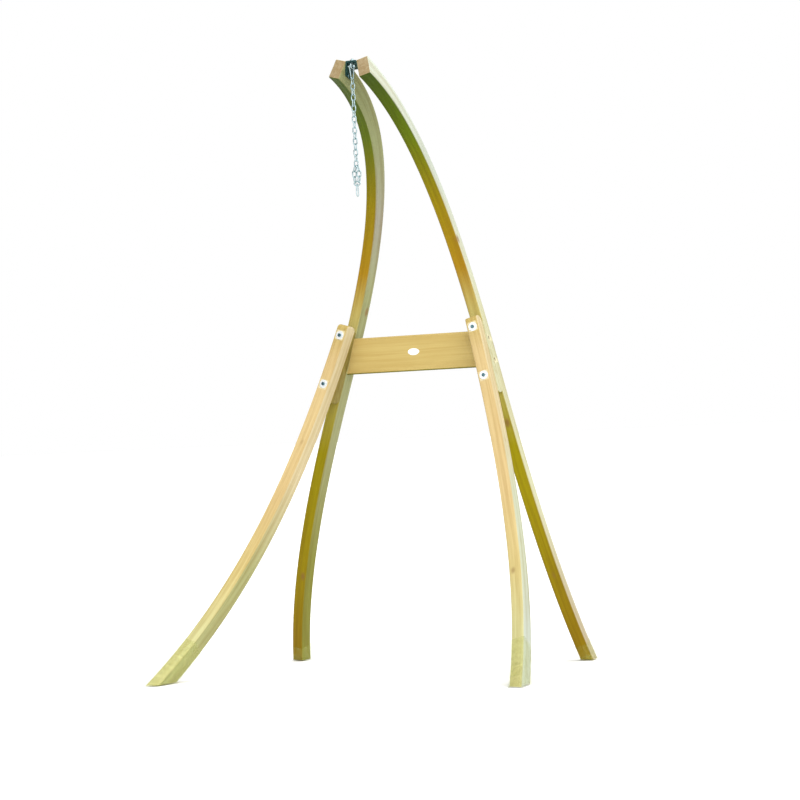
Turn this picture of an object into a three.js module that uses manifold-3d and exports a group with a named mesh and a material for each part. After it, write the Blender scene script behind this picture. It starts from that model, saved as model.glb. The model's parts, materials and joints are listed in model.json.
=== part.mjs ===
// A timber stand for a hanging chair: two leaning side frames of bent timber, a cross plank between
// them, and a chain with a snap hook that hangs from a steel bracket between the mast tips.
// Millimetres, +Z up, +X to the right, -Y is the front. The origin is the bottom centre.

import * as THREE from "three";
import { mergeVertices } from "three/addons/utils/BufferGeometryUtils.js";
import Module from "manifold-3d";

const wasm = await Module();
wasm.setup();

// ---------------------------------------------------------------------------------------------
// Driving dimensions: millimetres and degrees
// ---------------------------------------------------------------------------------------------

const GAP = 0.3; // between pieces that touch
const EMBED = 1; // how far shapes run into each other where they are one piece
const FAR = 4000; // a length beyond every piece, for cutting tools

// Both side frames are flat: each stands on a trace along the ground and leans inwards.
const side = { halfSpread: 690, lean: 15.5, toeOut: 6.7 };

const timber = { width: 48, mastDepth: 57, legFootDepth: 68, legTopDepth: 60, arris: 3 };
const flare = { tipDepth: 77, length: 780 }; // the mast deepens towards its tip

// Centre lines in a side frame's own plane: x runs to the rear, y up the slope.
// A heading is measured from the y axis towards the rear.
const mast = {
  foot: { x: 502, y: 0, heading: -21.5, handle: 415 },
  waist: { x: 441, y: 1228, heading: 7.2, handleBelow: 399, handleAbove: 392 },
  tip: { x: 10, y: 2386, heading: -69, handle: 544 },
};
const leg = {
  foot: { x: -430, y: 0, heading: 53, handle: 609 },
  top: { x: 386, y: 1379, heading: 13.2, handle: 540 },
  crown: 16, // height of the rounded upper end
};
const spacer = { bottom: 1094, top: 1372, crown: 12 };

const cap = { wall: 4, frontLength: 215, rearLength: 75 };

const plank = { bottom: 1150, height: 142, thickness: 27, edge: 6, inset: 1 };
const badge = { width: 49, height: 27, thickness: 1.5, rise: 76 };

const bolt = { radius: 4, headAcross: 13, headHeight: 5.3, clearance: 0.3, nutHeight: 6.5, tail: 5 };
const washer = { radius: 17, thickness: 2 };
const mainBoltHeights = { upper: 1351, lower: 1153 };
// Plank bolts rise above the plank's lower edge and lie behind the front of the mast.
const sideBolt = { rises: { upper: 113, lower: 27 }, setback: 15, length: 70 };
const counterbore = { radius: 9, depth: 9 };

const bracket = { length: 68, setback: -4, slant: 32, plate: 4, topInset: 3, height: 44 };
const lagScrew = { radius: 3.5, headAcross: 12, headHeight: 4.5, length: 38, fromTip: 44 };

const eye = { fromTip: 10, ringRadius: 8, wireRadius: 3, drop: 12, shankRadius: 4, tail: 4, washer: 11.5 };
const shackle = { pinRadius: 3, wireRadius: 2.5, length: 47, spread: 9.5, bowRadius: 5.5, boss: 5.5 };

const chain = { wireRadius: 2.25, pitch: 21, crownRadius: 7.5, links: 16 };
const loop = { sideLinks: 3, spread: 10 };

const hook = { wireRadius: 2.25, topRadius: 5.5, bowRadius: 8.5, length: 46, gateTop: 10, gateBottom: 29 };
const gate = { radius: 1.9 };

// ---------------------------------------------------------------------------------------------
// Materials
// ---------------------------------------------------------------------------------------------

const finishes = {
  larch: { color: 0xd8b47c, roughness: 0.62, metalness: 0 },
  larchPlank: { color: 0xd9c07c, roughness: 0.6, metalness: 0 },
  clearPlastic: { color: 0xb9b06a, roughness: 0.25, metalness: 0 },
  badge: { color: 0xf4f3ee, roughness: 0.4, metalness: 0 },
  zinc: { color: 0xd5dde0, roughness: 0.32, metalness: 1 },
  darkSteel: { color: 0x1d3a38, roughness: 0.45, metalness: 0.4 },
};

/** A named mesh with its own material. */
function piece(name, geometry, finish) {
  const mesh = new THREE.Mesh(geometry, new THREE.MeshStandardMaterial(finishes[finish]));
  mesh.name = name;
  return mesh;
}

// ---------------------------------------------------------------------------------------------
// Joining and cutting
// ---------------------------------------------------------------------------------------------

/** The closed solid inside a three.js geometry. */
function solid(geometry) {
  const bare = geometry.clone();
  bare.deleteAttribute("normal");
  bare.deleteAttribute("uv");
  const merged = mergeVertices(bare, 1e-4);
  const mesh = new wasm.Mesh({
    numProp: 3,
    vertProperties: new Float32Array(merged.attributes.position.array),
    triVerts: new Uint32Array(merged.index.array),
  });
  return new wasm.Manifold(mesh);
}

/** A three.js geometry of a solid's surface. */
function surface(shape) {
  const mesh = shape.getMesh();
  const geometry = new THREE.BufferGeometry();
  geometry.setAttribute("position", new THREE.BufferAttribute(mesh.vertProperties, 3));
  geometry.setIndex(new THREE.BufferAttribute(mesh.triVerts, 1));
  geometry.computeVertexNormals();
  return geometry;
}

/** One geometry cut by several others. */
function cut(body, tools) {
  return surface(tools.reduce((rest, tool) => rest.subtract(solid(tool)), solid(body)));
}

/** Several overlapping geometries as one. */
function join(parts) {
  return surface(parts.slice(1).reduce((whole, part) => whole.add(solid(part)), solid(parts[0])));
}

/** What several geometries share. */
function common(parts) {
  return surface(parts.slice(1).reduce((whole, part) => whole.intersect(solid(part)), solid(parts[0])));
}

// ---------------------------------------------------------------------------------------------
// Shapes
// ---------------------------------------------------------------------------------------------

const radians = THREE.MathUtils.degToRad;

/** The unit vector of a heading in a side frame's plane. */
function along(heading) {
  return new THREE.Vector2(Math.sin(radians(heading)), Math.cos(radians(heading)));
}

/** A rod along an axis from one point to another. */
function rod(from, to, radius, sides = 12) {
  const geometry = new THREE.CylinderGeometry(radius, radius, from.distanceTo(to), sides);
  const turn = new THREE.Quaternion().setFromUnitVectors(
    new THREE.Vector3(0, 1, 0),
    to.clone().sub(from).normalize(),
  );
  geometry.applyQuaternion(turn);
  return geometry.translate(...from.clone().lerp(to, 0.5).toArray());
}

/** A six-sided prism, from one point to another, with a size across its flats. */
function hexagon(from, to, across) {
  return rod(from, to, across / Math.sqrt(3), 6);
}

/** A box given by its lowest and highest corners. */
function boxBetween(low, high) {
  const size = high.clone().sub(low);
  return new THREE.BoxGeometry(...size.toArray()).translate(...low.clone().lerp(high, 0.5).toArray());
}

/** A circular arc in the XZ plane. Angles are in degrees, from +X towards +Z. */
class Arc extends THREE.Curve {
  constructor(centre, radius, start, end) {
    super();
    Object.assign(this, { centre, radius, start, end });
  }

  getPoint(t, target = new THREE.Vector3()) {
    const angle = radians(THREE.MathUtils.lerp(this.start, this.end, t));
    return target
      .set(Math.cos(angle), 0, Math.sin(angle))
      .multiplyScalar(this.radius)
      .add(this.centre);
  }
}

/** Curves and the straight lines between them, end to end. */
function pathThrough(curves) {
  const path = new THREE.CurvePath();
  curves.forEach((curve, i) => {
    path.add(curve);
    const next = curves[i + 1];
    if (next) path.add(new THREE.LineCurve3(curve.getPoint(1), next.getPoint(0)));
  });
  return path;
}

/** A round bar bent along an open path. */
function bentBar(path, radius, steps, sides = 4) {
  const section = new THREE.Shape();
  section.absarc(0, 0, radius, 0, 2 * Math.PI);
  return new THREE.ExtrudeGeometry(section, { extrudePath: path, steps, curveSegments: sides });
}

// ---------------------------------------------------------------------------------------------
// Side frames
// ---------------------------------------------------------------------------------------------

/** The placement of a side frame: its x runs to the rear, y up the slope, z across the timber. */
function sidePlacement(hand) {
  const toe = radians(side.toeOut);
  const lean = radians(side.lean);
  const rearward = new THREE.Vector3(-hand * Math.sin(toe), Math.cos(toe), 0);
  const outward = new THREE.Vector3(hand * Math.cos(toe), Math.sin(toe), 0);
  const upward = new THREE.Vector3(0, 0, Math.cos(lean)).addScaledVector(outward, -Math.sin(lean));
  const across = rearward.clone().cross(upward);
  return new THREE.Matrix4()
    .makeBasis(rearward, upward, across)
    .setPosition(hand * side.halfSpread, 0, 0);
}

/** The hand of a side frame is +1 on the right and -1 on the left. */
const sides = [
  { name: "left", hand: -1 },
  { name: "right", hand: 1 },
].map((entry) => ({ ...entry, placement: sidePlacement(entry.hand) }));

/** A point at a distance along a heading. */
function reach(end, heading, distance) {
  return new THREE.Vector2(end.x, end.y).addScaledVector(along(heading), distance);
}

/** A straight run into the ground, so that the foot can be cut level. */
const BELOW = 150;

const mastLine = new THREE.CurvePath();
mastLine.add(new THREE.LineCurve(reach(mast.foot, mast.foot.heading, -BELOW), reach(mast.foot, 0, 0)));
mastLine.add(
  new THREE.CubicBezierCurve(
    reach(mast.foot, 0, 0),
    reach(mast.foot, mast.foot.heading, mast.foot.handle),
    reach(mast.waist, mast.waist.heading, -mast.waist.handleBelow),
    reach(mast.waist, 0, 0),
  ),
);
mastLine.add(
  new THREE.CubicBezierCurve(
    reach(mast.waist, 0, 0),
    reach(mast.waist, mast.waist.heading, mast.waist.handleAbove),
    reach(mast.tip, mast.tip.heading, -mast.tip.handle),
    reach(mast.tip, 0, 0),
  ),
);

const legLine = new THREE.CurvePath();
legLine.add(new THREE.LineCurve(reach(leg.foot, leg.foot.heading, -BELOW), reach(leg.foot, 0, 0)));
legLine.add(
  new THREE.CubicBezierCurve(
    reach(leg.foot, 0, 0),
    reach(leg.foot, leg.foot.heading, leg.foot.handle),
    reach(leg.top, leg.top.heading, -leg.top.handle),
    reach(leg.top, 0, 0),
  ),
);

/** The share of the flare's length that a place on the mast has passed. */
const flareShare = (u) => Math.max(0, 1 - ((1 - u) * mastLine.getLength()) / flare.length);
const mastDepth = (u) => THREE.MathUtils.lerp(timber.mastDepth, flare.tipDepth, flareShare(u));
const legDepth = (u) => THREE.MathUtils.lerp(timber.legFootDepth, timber.legTopDepth, u);

/** The number of straight runs along a line's faces. */
const RUNS = 32;

/** Points beside a centre line: face is +1 for its rear face and -1 for its front face. */
function facePoints(line, depth, face, { to = 1, extra = 0 } = {}) {
  const beside = (i) => {
    const heading = line.getTangentAt(i / RUNS);
    const rearward = new THREE.Vector2(heading.y, -heading.x);
    return line.getPointAt(i / RUNS).addScaledVector(rearward, face * (depth(i / RUNS) / 2 + extra));
  };
  const whole = Math.floor(to * RUNS);
  const points = Array.from({ length: whole + 1 }, (_, i) => beside(i));
  const rest = to * RUNS - whole;
  if (rest > 0) points.push(points.at(-1).clone().lerp(beside(whole + 1), rest));
  return points;
}

/** The stretch of a row of points between two heights, with its ends on those heights. */
function between(points, bottom, top) {
  const at = (height) => {
    const i = points.findIndex((point) => point.y > height);
    const [a, b] = [points[i - 1], points[i]];
    return a.clone().lerp(b, (height - a.y) / (b.y - a.y));
  };
  return [at(bottom), ...points.filter(({ y }) => y > bottom + 1 && y < top - 1), at(top)];
}

/** Points of a half ellipse that bulges to the right of the way from one point to another. */
function crownPoints(from, to, bulge, steps = 8) {
  const centre = from.clone().lerp(to, 0.5);
  const half = from.clone().sub(centre);
  const outward = new THREE.Vector2(-half.y, half.x).setLength(bulge);
  return Array.from({ length: steps - 1 }, (_, i) => {
    const angle = (Math.PI * (i + 1)) / steps;
    return centre
      .clone()
      .addScaledVector(half, Math.cos(angle))
      .addScaledVector(outward, Math.sin(angle));
  });
}

/** A flat piece of timber, as wide as the stock plus a margin on each face, with eased arrises. */
function board(outline, { margin = 0, arris = timber.arris } = {}) {
  const width = timber.width + 2 * margin;
  const geometry = new THREE.ExtrudeGeometry(new THREE.Shape(outline), {
    depth: width - 2 * arris,
    steps: 1,
    bevelEnabled: arris > 0,
    bevelThickness: arris,
    bevelSize: arris,
    bevelOffset: -arris,
    bevelSegments: 1,
  });
  return geometry.translate(0, 0, arris - width / 2);
}

/** Everything below a height above the ground, in a side frame's own axes. */
function below(height, placement) {
  const slab = boxBetween(new THREE.Vector3(-FAR, -FAR, -FAR), new THREE.Vector3(FAR, FAR, height));
  return slab.applyMatrix4(placement.clone().invert());
}

/** The share of a centre line from its start in the ground to a distance above the foot. */
function shareUp(line, distance) {
  return (BELOW + distance) / line.getLength();
}

/** The height above the ground at which timber ends inside its foot cap. */
const timberFoot = cap.wall + GAP;

// Bolts that clamp leg, spacer and mast run square to the middle of the wedge between the faces.

/** The share of a line at which it reaches a height. */
function shareAtHeight(line, height) {
  let low = 0;
  let high = 1;
  while (high - low > 1e-6) {
    const middle = (low + high) / 2;
    if (line.getPointAt(middle).y < height) low = middle;
    else high = middle;
  }
  return low;
}

/** The axis of a clamping bolt: its direction and its seats on the leg's front and the mast's rear. */
function clampAxis(height) {
  const onLeg = shareAtHeight(legLine, height);
  const onMast = shareAtHeight(mastLine, height);
  const heading = legLine.getTangentAt(onLeg).add(mastLine.getTangentAt(onMast)).normalize();
  const direction = new THREE.Vector2(heading.y, -heading.x);
  const seat = (line, share, depth, face) => {
    const centre = line.getPointAt(share);
    const slant = direction.dot(new THREE.Vector2(line.getTangentAt(share).y, -line.getTangentAt(share).x));
    const spotFace = washer.radius * Math.tan(Math.acos(slant));
    return centre.addScaledVector(direction, face * ((depth / 2) / slant - spotFace));
  };
  const front = seat(legLine, onLeg, legDepth(onLeg), -1);
  const mastCentre = mastLine.getPointAt(onMast);
  const reachRear = seat(mastLine, onMast, mastDepth(onMast), 1).sub(mastCentre).length();
  const span = mastCentre.clone().sub(front).dot(direction) + reachRear;
  const lift = (point) => new THREE.Vector3(point.x, point.y, 0);
  return {
    direction: lift(direction),
    front: lift(front),
    rear: lift(front).addScaledVector(lift(direction), span),
  };
}

/** Holes and spot faces of a clamping bolt. */
function clampHoles({ direction, front, rear }) {
  const start = front.clone().addScaledVector(direction, -washer.radius * 3);
  const end = rear.clone().addScaledVector(direction, washer.radius * 3);
  return [
    rod(start, end, bolt.radius + bolt.clearance),
    rod(start, front, washer.radius + 1, 20),
    rod(rear, end, washer.radius + 1, 20),
  ];
}

/** The plank's front face lies just ahead of the fronts of the masts. */
function plankFront() {
  const height = (plank.bottom + plank.height / 2) / Math.cos(radians(side.lean));
  const share = shareAtHeight(mastLine, height);
  const { x, y } = mastLine.getPointAt(share);
  const corner = new THREE.Vector3(x - mastDepth(share) / 2, y, -timber.width / 2);
  return corner.applyMatrix4(sides[1].placement).y - plank.inset;
}

/** A plank bolt runs level through the mast into the plank: its seat and its direction. */
function sideBoltAxis(rise, { hand }) {
  const lean = radians(side.lean);
  const inward = new THREE.Vector3(0, Math.sin(lean), -hand * Math.cos(lean));
  const height = (plank.bottom + rise - (timber.width / 2) * Math.sin(lean)) / Math.cos(lean);
  const share = shareAtHeight(mastLine, height);
  const front = mastLine.getPointAt(share).x - mastDepth(share) / 2;
  const face = new THREE.Vector3(front + sideBolt.setback, height, (hand * timber.width) / 2);
  const seat = face.clone().addScaledVector(inward, counterbore.depth);
  return { inward, face, seat, end: seat.clone().addScaledVector(inward, sideBolt.length) };
}

/** Hole and counterbore of a side bolt, reaching a clearance past its end. */
function sideBoltHoles({ inward, face, seat, end }) {
  return [
    rod(seat, end.clone().addScaledVector(inward, 1), bolt.radius + bolt.clearance),
    rod(face.clone().addScaledVector(inward, -counterbore.radius), seat, counterbore.radius, 16),
  ];
}

const clampAxes = Object.entries(mainBoltHeights).map(([name, height]) => ({ name, ...clampAxis(height) }));

function mastPiece(frame) {
  const { name, placement } = frame;
  const front = facePoints(mastLine, mastDepth, -1);
  const rear = facePoints(mastLine, mastDepth, 1);
  const blank = board([...rear, ...front.reverse()]);
  const holes = [
    ...clampAxes.flatMap(clampHoles),
    ...Object.values(sideBolt.rises).flatMap((rise) => sideBoltHoles(sideBoltAxis(rise, frame))),
    ...lagScrewAxes(name).map(({ start, end }) => rod(start, end, lagScrew.radius + GAP, 12)),
  ];
  return piece(`mast_${name}`, cut(blank, [below(timberFoot, placement), ...holes]), "larch");
}

function legPiece({ name, placement }) {
  const front = facePoints(legLine, legDepth, -1);
  const rear = facePoints(legLine, legDepth, 1);
  const crown = crownPoints(rear.at(-1), front.at(-1), leg.crown);
  const blank = board([...rear, ...crown, ...front.reverse()]);
  const holes = clampAxes.flatMap(clampHoles);
  return piece(`front_leg_${name}`, cut(blank, [below(timberFoot, placement), ...holes]), "larch");
}

function spacerPiece({ name }) {
  const { bottom, top } = spacer;
  const onLeg = between(facePoints(legLine, legDepth, 1, { extra: GAP }), bottom, top);
  const onMast = between(facePoints(mastLine, mastDepth, -1, { extra: GAP }), bottom, top);
  const crown = crownPoints(onLeg[0], onMast[0], spacer.crown);
  const blank = board([...onMast, ...onLeg.reverse(), ...crown], { arris: timber.arris / 2 });
  return piece(`spacer_${name}`, cut(blank, clampAxes.flatMap(clampHoles)), "larch");
}

/** A moulded cap that follows the timber up from the ground. */
function footCap(name, line, depth, length, placement) {
  const around = (extra, distance) => {
    const range = { to: shareUp(line, distance), extra };
    const rear = facePoints(line, depth, 1, range);
    const front = facePoints(line, depth, -1, range);
    return board([...rear, ...front.reverse()], { margin: extra, arris: 0 });
  };
  const outside = cut(around(cap.wall + GAP, length), [below(0, placement)]);
  const inside = cut(around(GAP, length + 20), [below(cap.wall, placement)]);
  return piece(name, cut(outside, [inside]), "clearPlastic");
}

function clampFasteners({ name }, { name: level, direction, front, rear }) {
  const at = (point, distance) => point.clone().addScaledVector(direction, distance);
  const washerInner = at(front, -GAP);
  const washerOuter = at(washerInner, -washer.thickness);
  const headBase = at(washerOuter, -GAP);
  const nutBase = at(rear, GAP);
  const tail = at(nutBase, washer.thickness + bolt.nutHeight + bolt.tail);
  const hole = rod(at(front, -FAR / 2), at(rear, FAR / 2), bolt.radius + bolt.clearance);
  const frontWasher = cut(rod(washerOuter, washerInner, washer.radius, 20), [hole]);
  const nut = join([
    rod(nutBase, at(nutBase, washer.thickness), washer.radius, 20),
    hexagon(at(nutBase, EMBED), at(nutBase, washer.thickness + bolt.nutHeight), bolt.headAcross),
  ]);
  const shank = join([
    rod(at(headBase, -EMBED), tail, bolt.radius),
    hexagon(at(headBase, -bolt.headHeight), headBase, bolt.headAcross),
  ]);
  return [
    piece(`clamp_bolt_${level}_${name}`, shank, "zinc"),
    piece(`clamp_washer_${level}_${name}`, frontWasher, "zinc"),
    piece(`clamp_nut_${level}_${name}`, cut(nut, [hole]), "zinc"),
  ];
}

function sideBoltPiece(frame, level) {
  const { inward, seat, end } = sideBoltAxis(sideBolt.rises[level], frame);
  const base = seat.clone().addScaledVector(inward, -GAP);
  const head = hexagon(base.clone().addScaledVector(inward, -bolt.headHeight), base, bolt.headAcross);
  const shank = rod(base.clone().addScaledVector(inward, -EMBED), end, bolt.radius);
  return piece(`plank_bolt_${level}_${frame.name}`, join([head, shank]), "zinc");
}

// ---------------------------------------------------------------------------------------------
// Between the side frames
// ---------------------------------------------------------------------------------------------

/** The space on the inner side of a side frame, kept a clearance away from its timber. */
function innerSpace({ hand, placement }, clearance) {
  const near = timber.width / 2 + clearance;
  const low = new THREE.Vector3(-FAR, -FAR, hand > 0 ? -FAR : near);
  const high = new THREE.Vector3(FAR, FAR, hand > 0 ? -near : FAR);
  return boxBetween(low, high).applyMatrix4(placement);
}

/** A profile in the YZ plane, swept across the stand and fitted between the side frames. */
function fitBetween(profile, clearance) {
  const halfLength = side.halfSpread;
  const swept = new THREE.ExtrudeGeometry(profile, {
    depth: 2 * halfLength,
    steps: 1,
    bevelEnabled: false,
    curveSegments: 6,
  });
  const upright = new THREE.Matrix4().makeBasis(
    new THREE.Vector3(0, 1, 0),
    new THREE.Vector3(0, 0, 1),
    new THREE.Vector3(1, 0, 0),
  );
  swept.translate(0, 0, -halfLength).applyMatrix4(upright);
  return common([swept, ...sides.map((frame) => innerSpace(frame, clearance))]);
}

/** A rectangle with rounded corners. */
function roundedRectangle(low, high, radius) {
  const shape = new THREE.Shape();
  shape.absarc(high.x - radius, low.y + radius, radius, -Math.PI / 2, 0);
  shape.absarc(high.x - radius, high.y - radius, radius, 0, Math.PI / 2);
  shape.absarc(low.x + radius, high.y - radius, radius, Math.PI / 2, Math.PI);
  shape.absarc(low.x + radius, low.y + radius, radius, Math.PI, 1.5 * Math.PI);
  return shape;
}

function crossPlank() {
  const front = plankFront();
  const low = new THREE.Vector2(front, plank.bottom);
  const high = new THREE.Vector2(front + plank.thickness, plank.bottom + plank.height);
  const blank = fitBetween(roundedRectangle(low, high, plank.edge), GAP);
  const holes = sides.flatMap((frame) =>
    Object.values(sideBolt.rises).map((rise) => {
      const { inward, seat, end } = sideBoltAxis(rise, frame);
      const tip = end.clone().addScaledVector(inward, 1);
      return rod(seat, tip, bolt.radius + bolt.clearance).applyMatrix4(frame.placement);
    }),
  );
  return piece("cross_plank", cut(blank, holes), "larchPlank");
}

/** A blank oval badge on the middle of the plank's front. */
function plankBadge() {
  const outline = new THREE.Shape();
  outline.absellipse(0, 0, badge.width / 2, badge.height / 2, 0, 2 * Math.PI);
  const geometry = new THREE.ExtrudeGeometry(outline, {
    depth: badge.thickness,
    bevelEnabled: false,
    curveSegments: 16,
  });
  const mesh = piece("plank_badge", geometry.rotateX(Math.PI / 2), "badge");
  mesh.position.set(0, plankFront() - GAP, plank.bottom + badge.rise);
  return mesh;
}

// The bracket's own axes: x across the stand, y forward along the mast tips, z square to its top.

const rightPlacement = sides[1].placement;
const tipHeading = new THREE.Vector3(...along(mast.tip.heading).toArray(), 0).transformDirection(rightPlacement);
const tipPoint = new THREE.Vector3(mast.tip.x, mast.tip.y, -timber.width / 2).applyMatrix4(rightPlacement);
const tipForward = new THREE.Vector3(0, tipHeading.y, tipHeading.z).normalize();
const tipUp = new THREE.Vector3(1, 0, 0).cross(tipForward).negate();
const tipOrigin = new THREE.Vector3(0, tipPoint.y, tipPoint.z);

/** The bracket's top face above the middle of the mast tips. */
const bracketTop = flare.tipDepth / 2 - bracket.topInset;

/** A place in the bracket's own axes, given in the stand's. */
function atTip(x, behind, up) {
  return tipOrigin.clone().addScaledVector(tipForward, -behind).addScaledVector(tipUp, up).setX(x);
}

/** The bracket's side view, with a front edge that slants back towards its bottom. */
function tipOutline(front, rear, top, bottom, slant = 0) {
  const corners = [
    [front + slant, bottom],
    [front, top],
    [rear, top],
    [rear, bottom],
  ];
  return new THREE.Shape(corners.map(([behind, up]) => {
    const point = atTip(0, behind, up);
    return new THREE.Vector2(point.y, point.z);
  }));
}

/** Lag screws run from the bracket's flanges into the masts. */
function lagScrewAxes(name) {
  const frame = sides.find((entry) => entry.name === name);
  const intoTimber = new THREE.Vector3(0, 0, frame.hand);
  const centre = reach(mast.tip, mast.tip.heading, -lagScrew.fromTip);
  const start = new THREE.Vector3(centre.x, centre.y, (-frame.hand * timber.width) / 2);
  const seat = start.addScaledVector(intoTimber, -(GAP + bracket.plate + GAP));
  return [{ intoTimber, start: seat, end: seat.clone().addScaledVector(intoTimber, lagScrew.length) }];
}

function crownBracket() {
  const front = bracket.setback;
  const rear = front + bracket.length;
  const bottom = bracketTop - bracket.height;
  const outside = fitBetween(tipOutline(front, rear, bracketTop, bottom, bracket.slant), GAP);
  const inside = fitBetween(
    tipOutline(front - 20, rear + 20, bracketTop - bracket.plate, bottom - 20),
    GAP + bracket.plate,
  );
  const eyeHole = rod(atTip(0, eye.fromTip, bracketTop + 10), atTip(0, eye.fromTip, 0), eye.shankRadius + GAP);
  const screwHoles = sides.flatMap(({ name, placement }) =>
    lagScrewAxes(name).map(({ intoTimber, start, end }) =>
      rod(start.clone().addScaledVector(intoTimber, -5), end, lagScrew.radius + GAP, 12).applyMatrix4(placement),
    ),
  );
  return piece("crown_bracket", cut(outside, [inside, eyeHole, ...screwHoles]), "darkSteel");
}

function lagScrewPiece({ name }) {
  const [{ intoTimber, start, end }] = lagScrewAxes(name);
  const tip = end.clone().addScaledVector(intoTimber, -1);
  const at = (distance) => start.clone().addScaledVector(intoTimber, distance);
  const head = hexagon(at(-lagScrew.headHeight), start, lagScrew.headAcross);
  return piece(`bracket_screw_${name}`, join([head, rod(at(-EMBED), tip, lagScrew.radius, 12)]), "zinc");
}

// ---------------------------------------------------------------------------------------------
// Hanging hardware
// ---------------------------------------------------------------------------------------------

/** The middle of the eye that hangs below the bracket. */
const eyeCentre = atTip(0, eye.fromTip, bracketTop - bracket.plate - eye.drop);

function eyeBolt() {
  const top = atTip(0, eye.fromTip, bracketTop + washer.thickness + bolt.nutHeight + eye.tail);
  const base = eyeCentre.clone().addScaledVector(tipUp, eye.ringRadius);
  const ring = new THREE.TorusGeometry(eye.ringRadius, eye.wireRadius, 8, 20).rotateY(Math.PI / 2);
  ring.translate(...eyeCentre.toArray());
  return piece("eye_bolt", join([rod(base, top, eye.shankRadius), ring]), "zinc");
}

function eyeNut() {
  const seat = atTip(0, eye.fromTip, bracketTop + GAP);
  const at = (height) => seat.clone().addScaledVector(tipUp, height);
  const body = join([
    rod(seat, at(washer.thickness), eye.washer, 16),
    hexagon(at(EMBED), at(washer.thickness + bolt.nutHeight), bolt.headAcross),
  ]);
  const hole = rod(at(-20), at(40), eye.shankRadius + GAP);
  return piece("eye_nut", cut(body, [hole]), "zinc");
}

/** The pin rests in the bottom of the eye. */
const pinDrop = eye.ringRadius - eye.wireRadius - shackle.pinRadius - GAP;
const pinCentre = eyeCentre.clone().add(new THREE.Vector3(0, 0, -pinDrop));

function shackleParts() {
  const { spread, bowRadius, length, boss, pinRadius, wireRadius } = shackle;
  const bow = new Arc(new THREE.Vector3(0, 0, bowRadius - length), bowRadius, 180, 360);
  const ends = [-1, 1].map((hand) => new THREE.Vector3(hand * spread, 0, -pinRadius));
  const path = new THREE.CurvePath();
  path.add(new THREE.LineCurve3(ends[0], bow.getPoint(0)));
  path.add(bow);
  path.add(new THREE.LineCurve3(bow.getPoint(1), ends[1]));
  const across = (x) => new THREE.Vector3(x, 0, 0);
  const bosses = [-1, 1].map((hand) =>
    rod(across(hand * (spread - wireRadius)), across(hand * (spread + wireRadius)), boss),
  );
  const outer = spread + wireRadius + GAP;
  const hole = rod(across(-outer - 10), across(outer + 10), pinRadius + GAP);
  const body = piece("shackle", cut(join([bentBar(path, wireRadius, 26), ...bosses]), [hole]), "zinc");
  const pin = piece(
    "shackle_pin",
    join([
      rod(across(-outer - 1), across(outer + 1), pinRadius),
      rod(across(outer), across(outer + 3), pinRadius + 2.5),
      rod(across(-outer - 3), across(-outer), pinRadius + 1.5),
    ]),
    "zinc",
  );
  const group = new THREE.Group();
  group.position.copy(pinCentre);
  group.add(body, pin);
  return group;
}

/** The length of a link's centre line between its two crowns. */
const linkSpan = chain.pitch + 2 * chain.wireRadius + GAP;

/** The height of a link's upper crown above the wire that it hangs on. */
const linkRise = 2 * chain.wireRadius + GAP;

/** A chain link in the XZ plane that hangs on a wire at the origin. */
function linkGeometry(rise) {
  const { crownRadius, wireRadius } = chain;
  const upper = new THREE.Vector3(0, 0, rise - crownRadius);
  const lower = new THREE.Vector3(0, 0, rise - linkSpan + crownRadius);
  const path = pathThrough([
    new Arc(upper, crownRadius, 90, 0),
    new Arc(lower, crownRadius, 0, -180),
    new Arc(upper, crownRadius, 180, 90),
  ]);
  return new THREE.TubeGeometry(path, 20, wireRadius, 6, true);
}

/**
 * A link hung at a point, along a direction. Its plane holds the direction and, before the turn
 * about that direction, the X axis.
 */
function hungLink(name, at, direction, turn, rise = linkRise) {
  const mesh = piece(name, linkGeometry(rise), "zinc");
  const lean = new THREE.Quaternion().setFromUnitVectors(new THREE.Vector3(0, 0, -1), direction);
  const twist = new THREE.Quaternion().setFromAxisAngle(new THREE.Vector3(0, 0, 1), turn);
  mesh.quaternion.copy(lean).multiply(twist);
  mesh.position.copy(at);
  return mesh;
}

const DOWN = new THREE.Vector3(0, 0, -1);
const number = (i) => String(i).padStart(2, "0");

/** The straight chain. Its first link hangs in the shackle's bow, and each link turns by a quarter. */
function straightChain(top) {
  const firstRise = shackle.wireRadius + chain.wireRadius + GAP;
  const at = top.clone();
  const links = [];
  for (let i = 1; i <= chain.links; i++) {
    const rise = i === 1 ? firstRise : linkRise;
    links.push(hungLink(`link_${number(i)}`, at.clone(), DOWN, i % 2 ? Math.PI / 2 : 0, rise));
    at.addScaledVector(DOWN, linkSpan - rise);
  }
  return { links, end: at };
}

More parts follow.
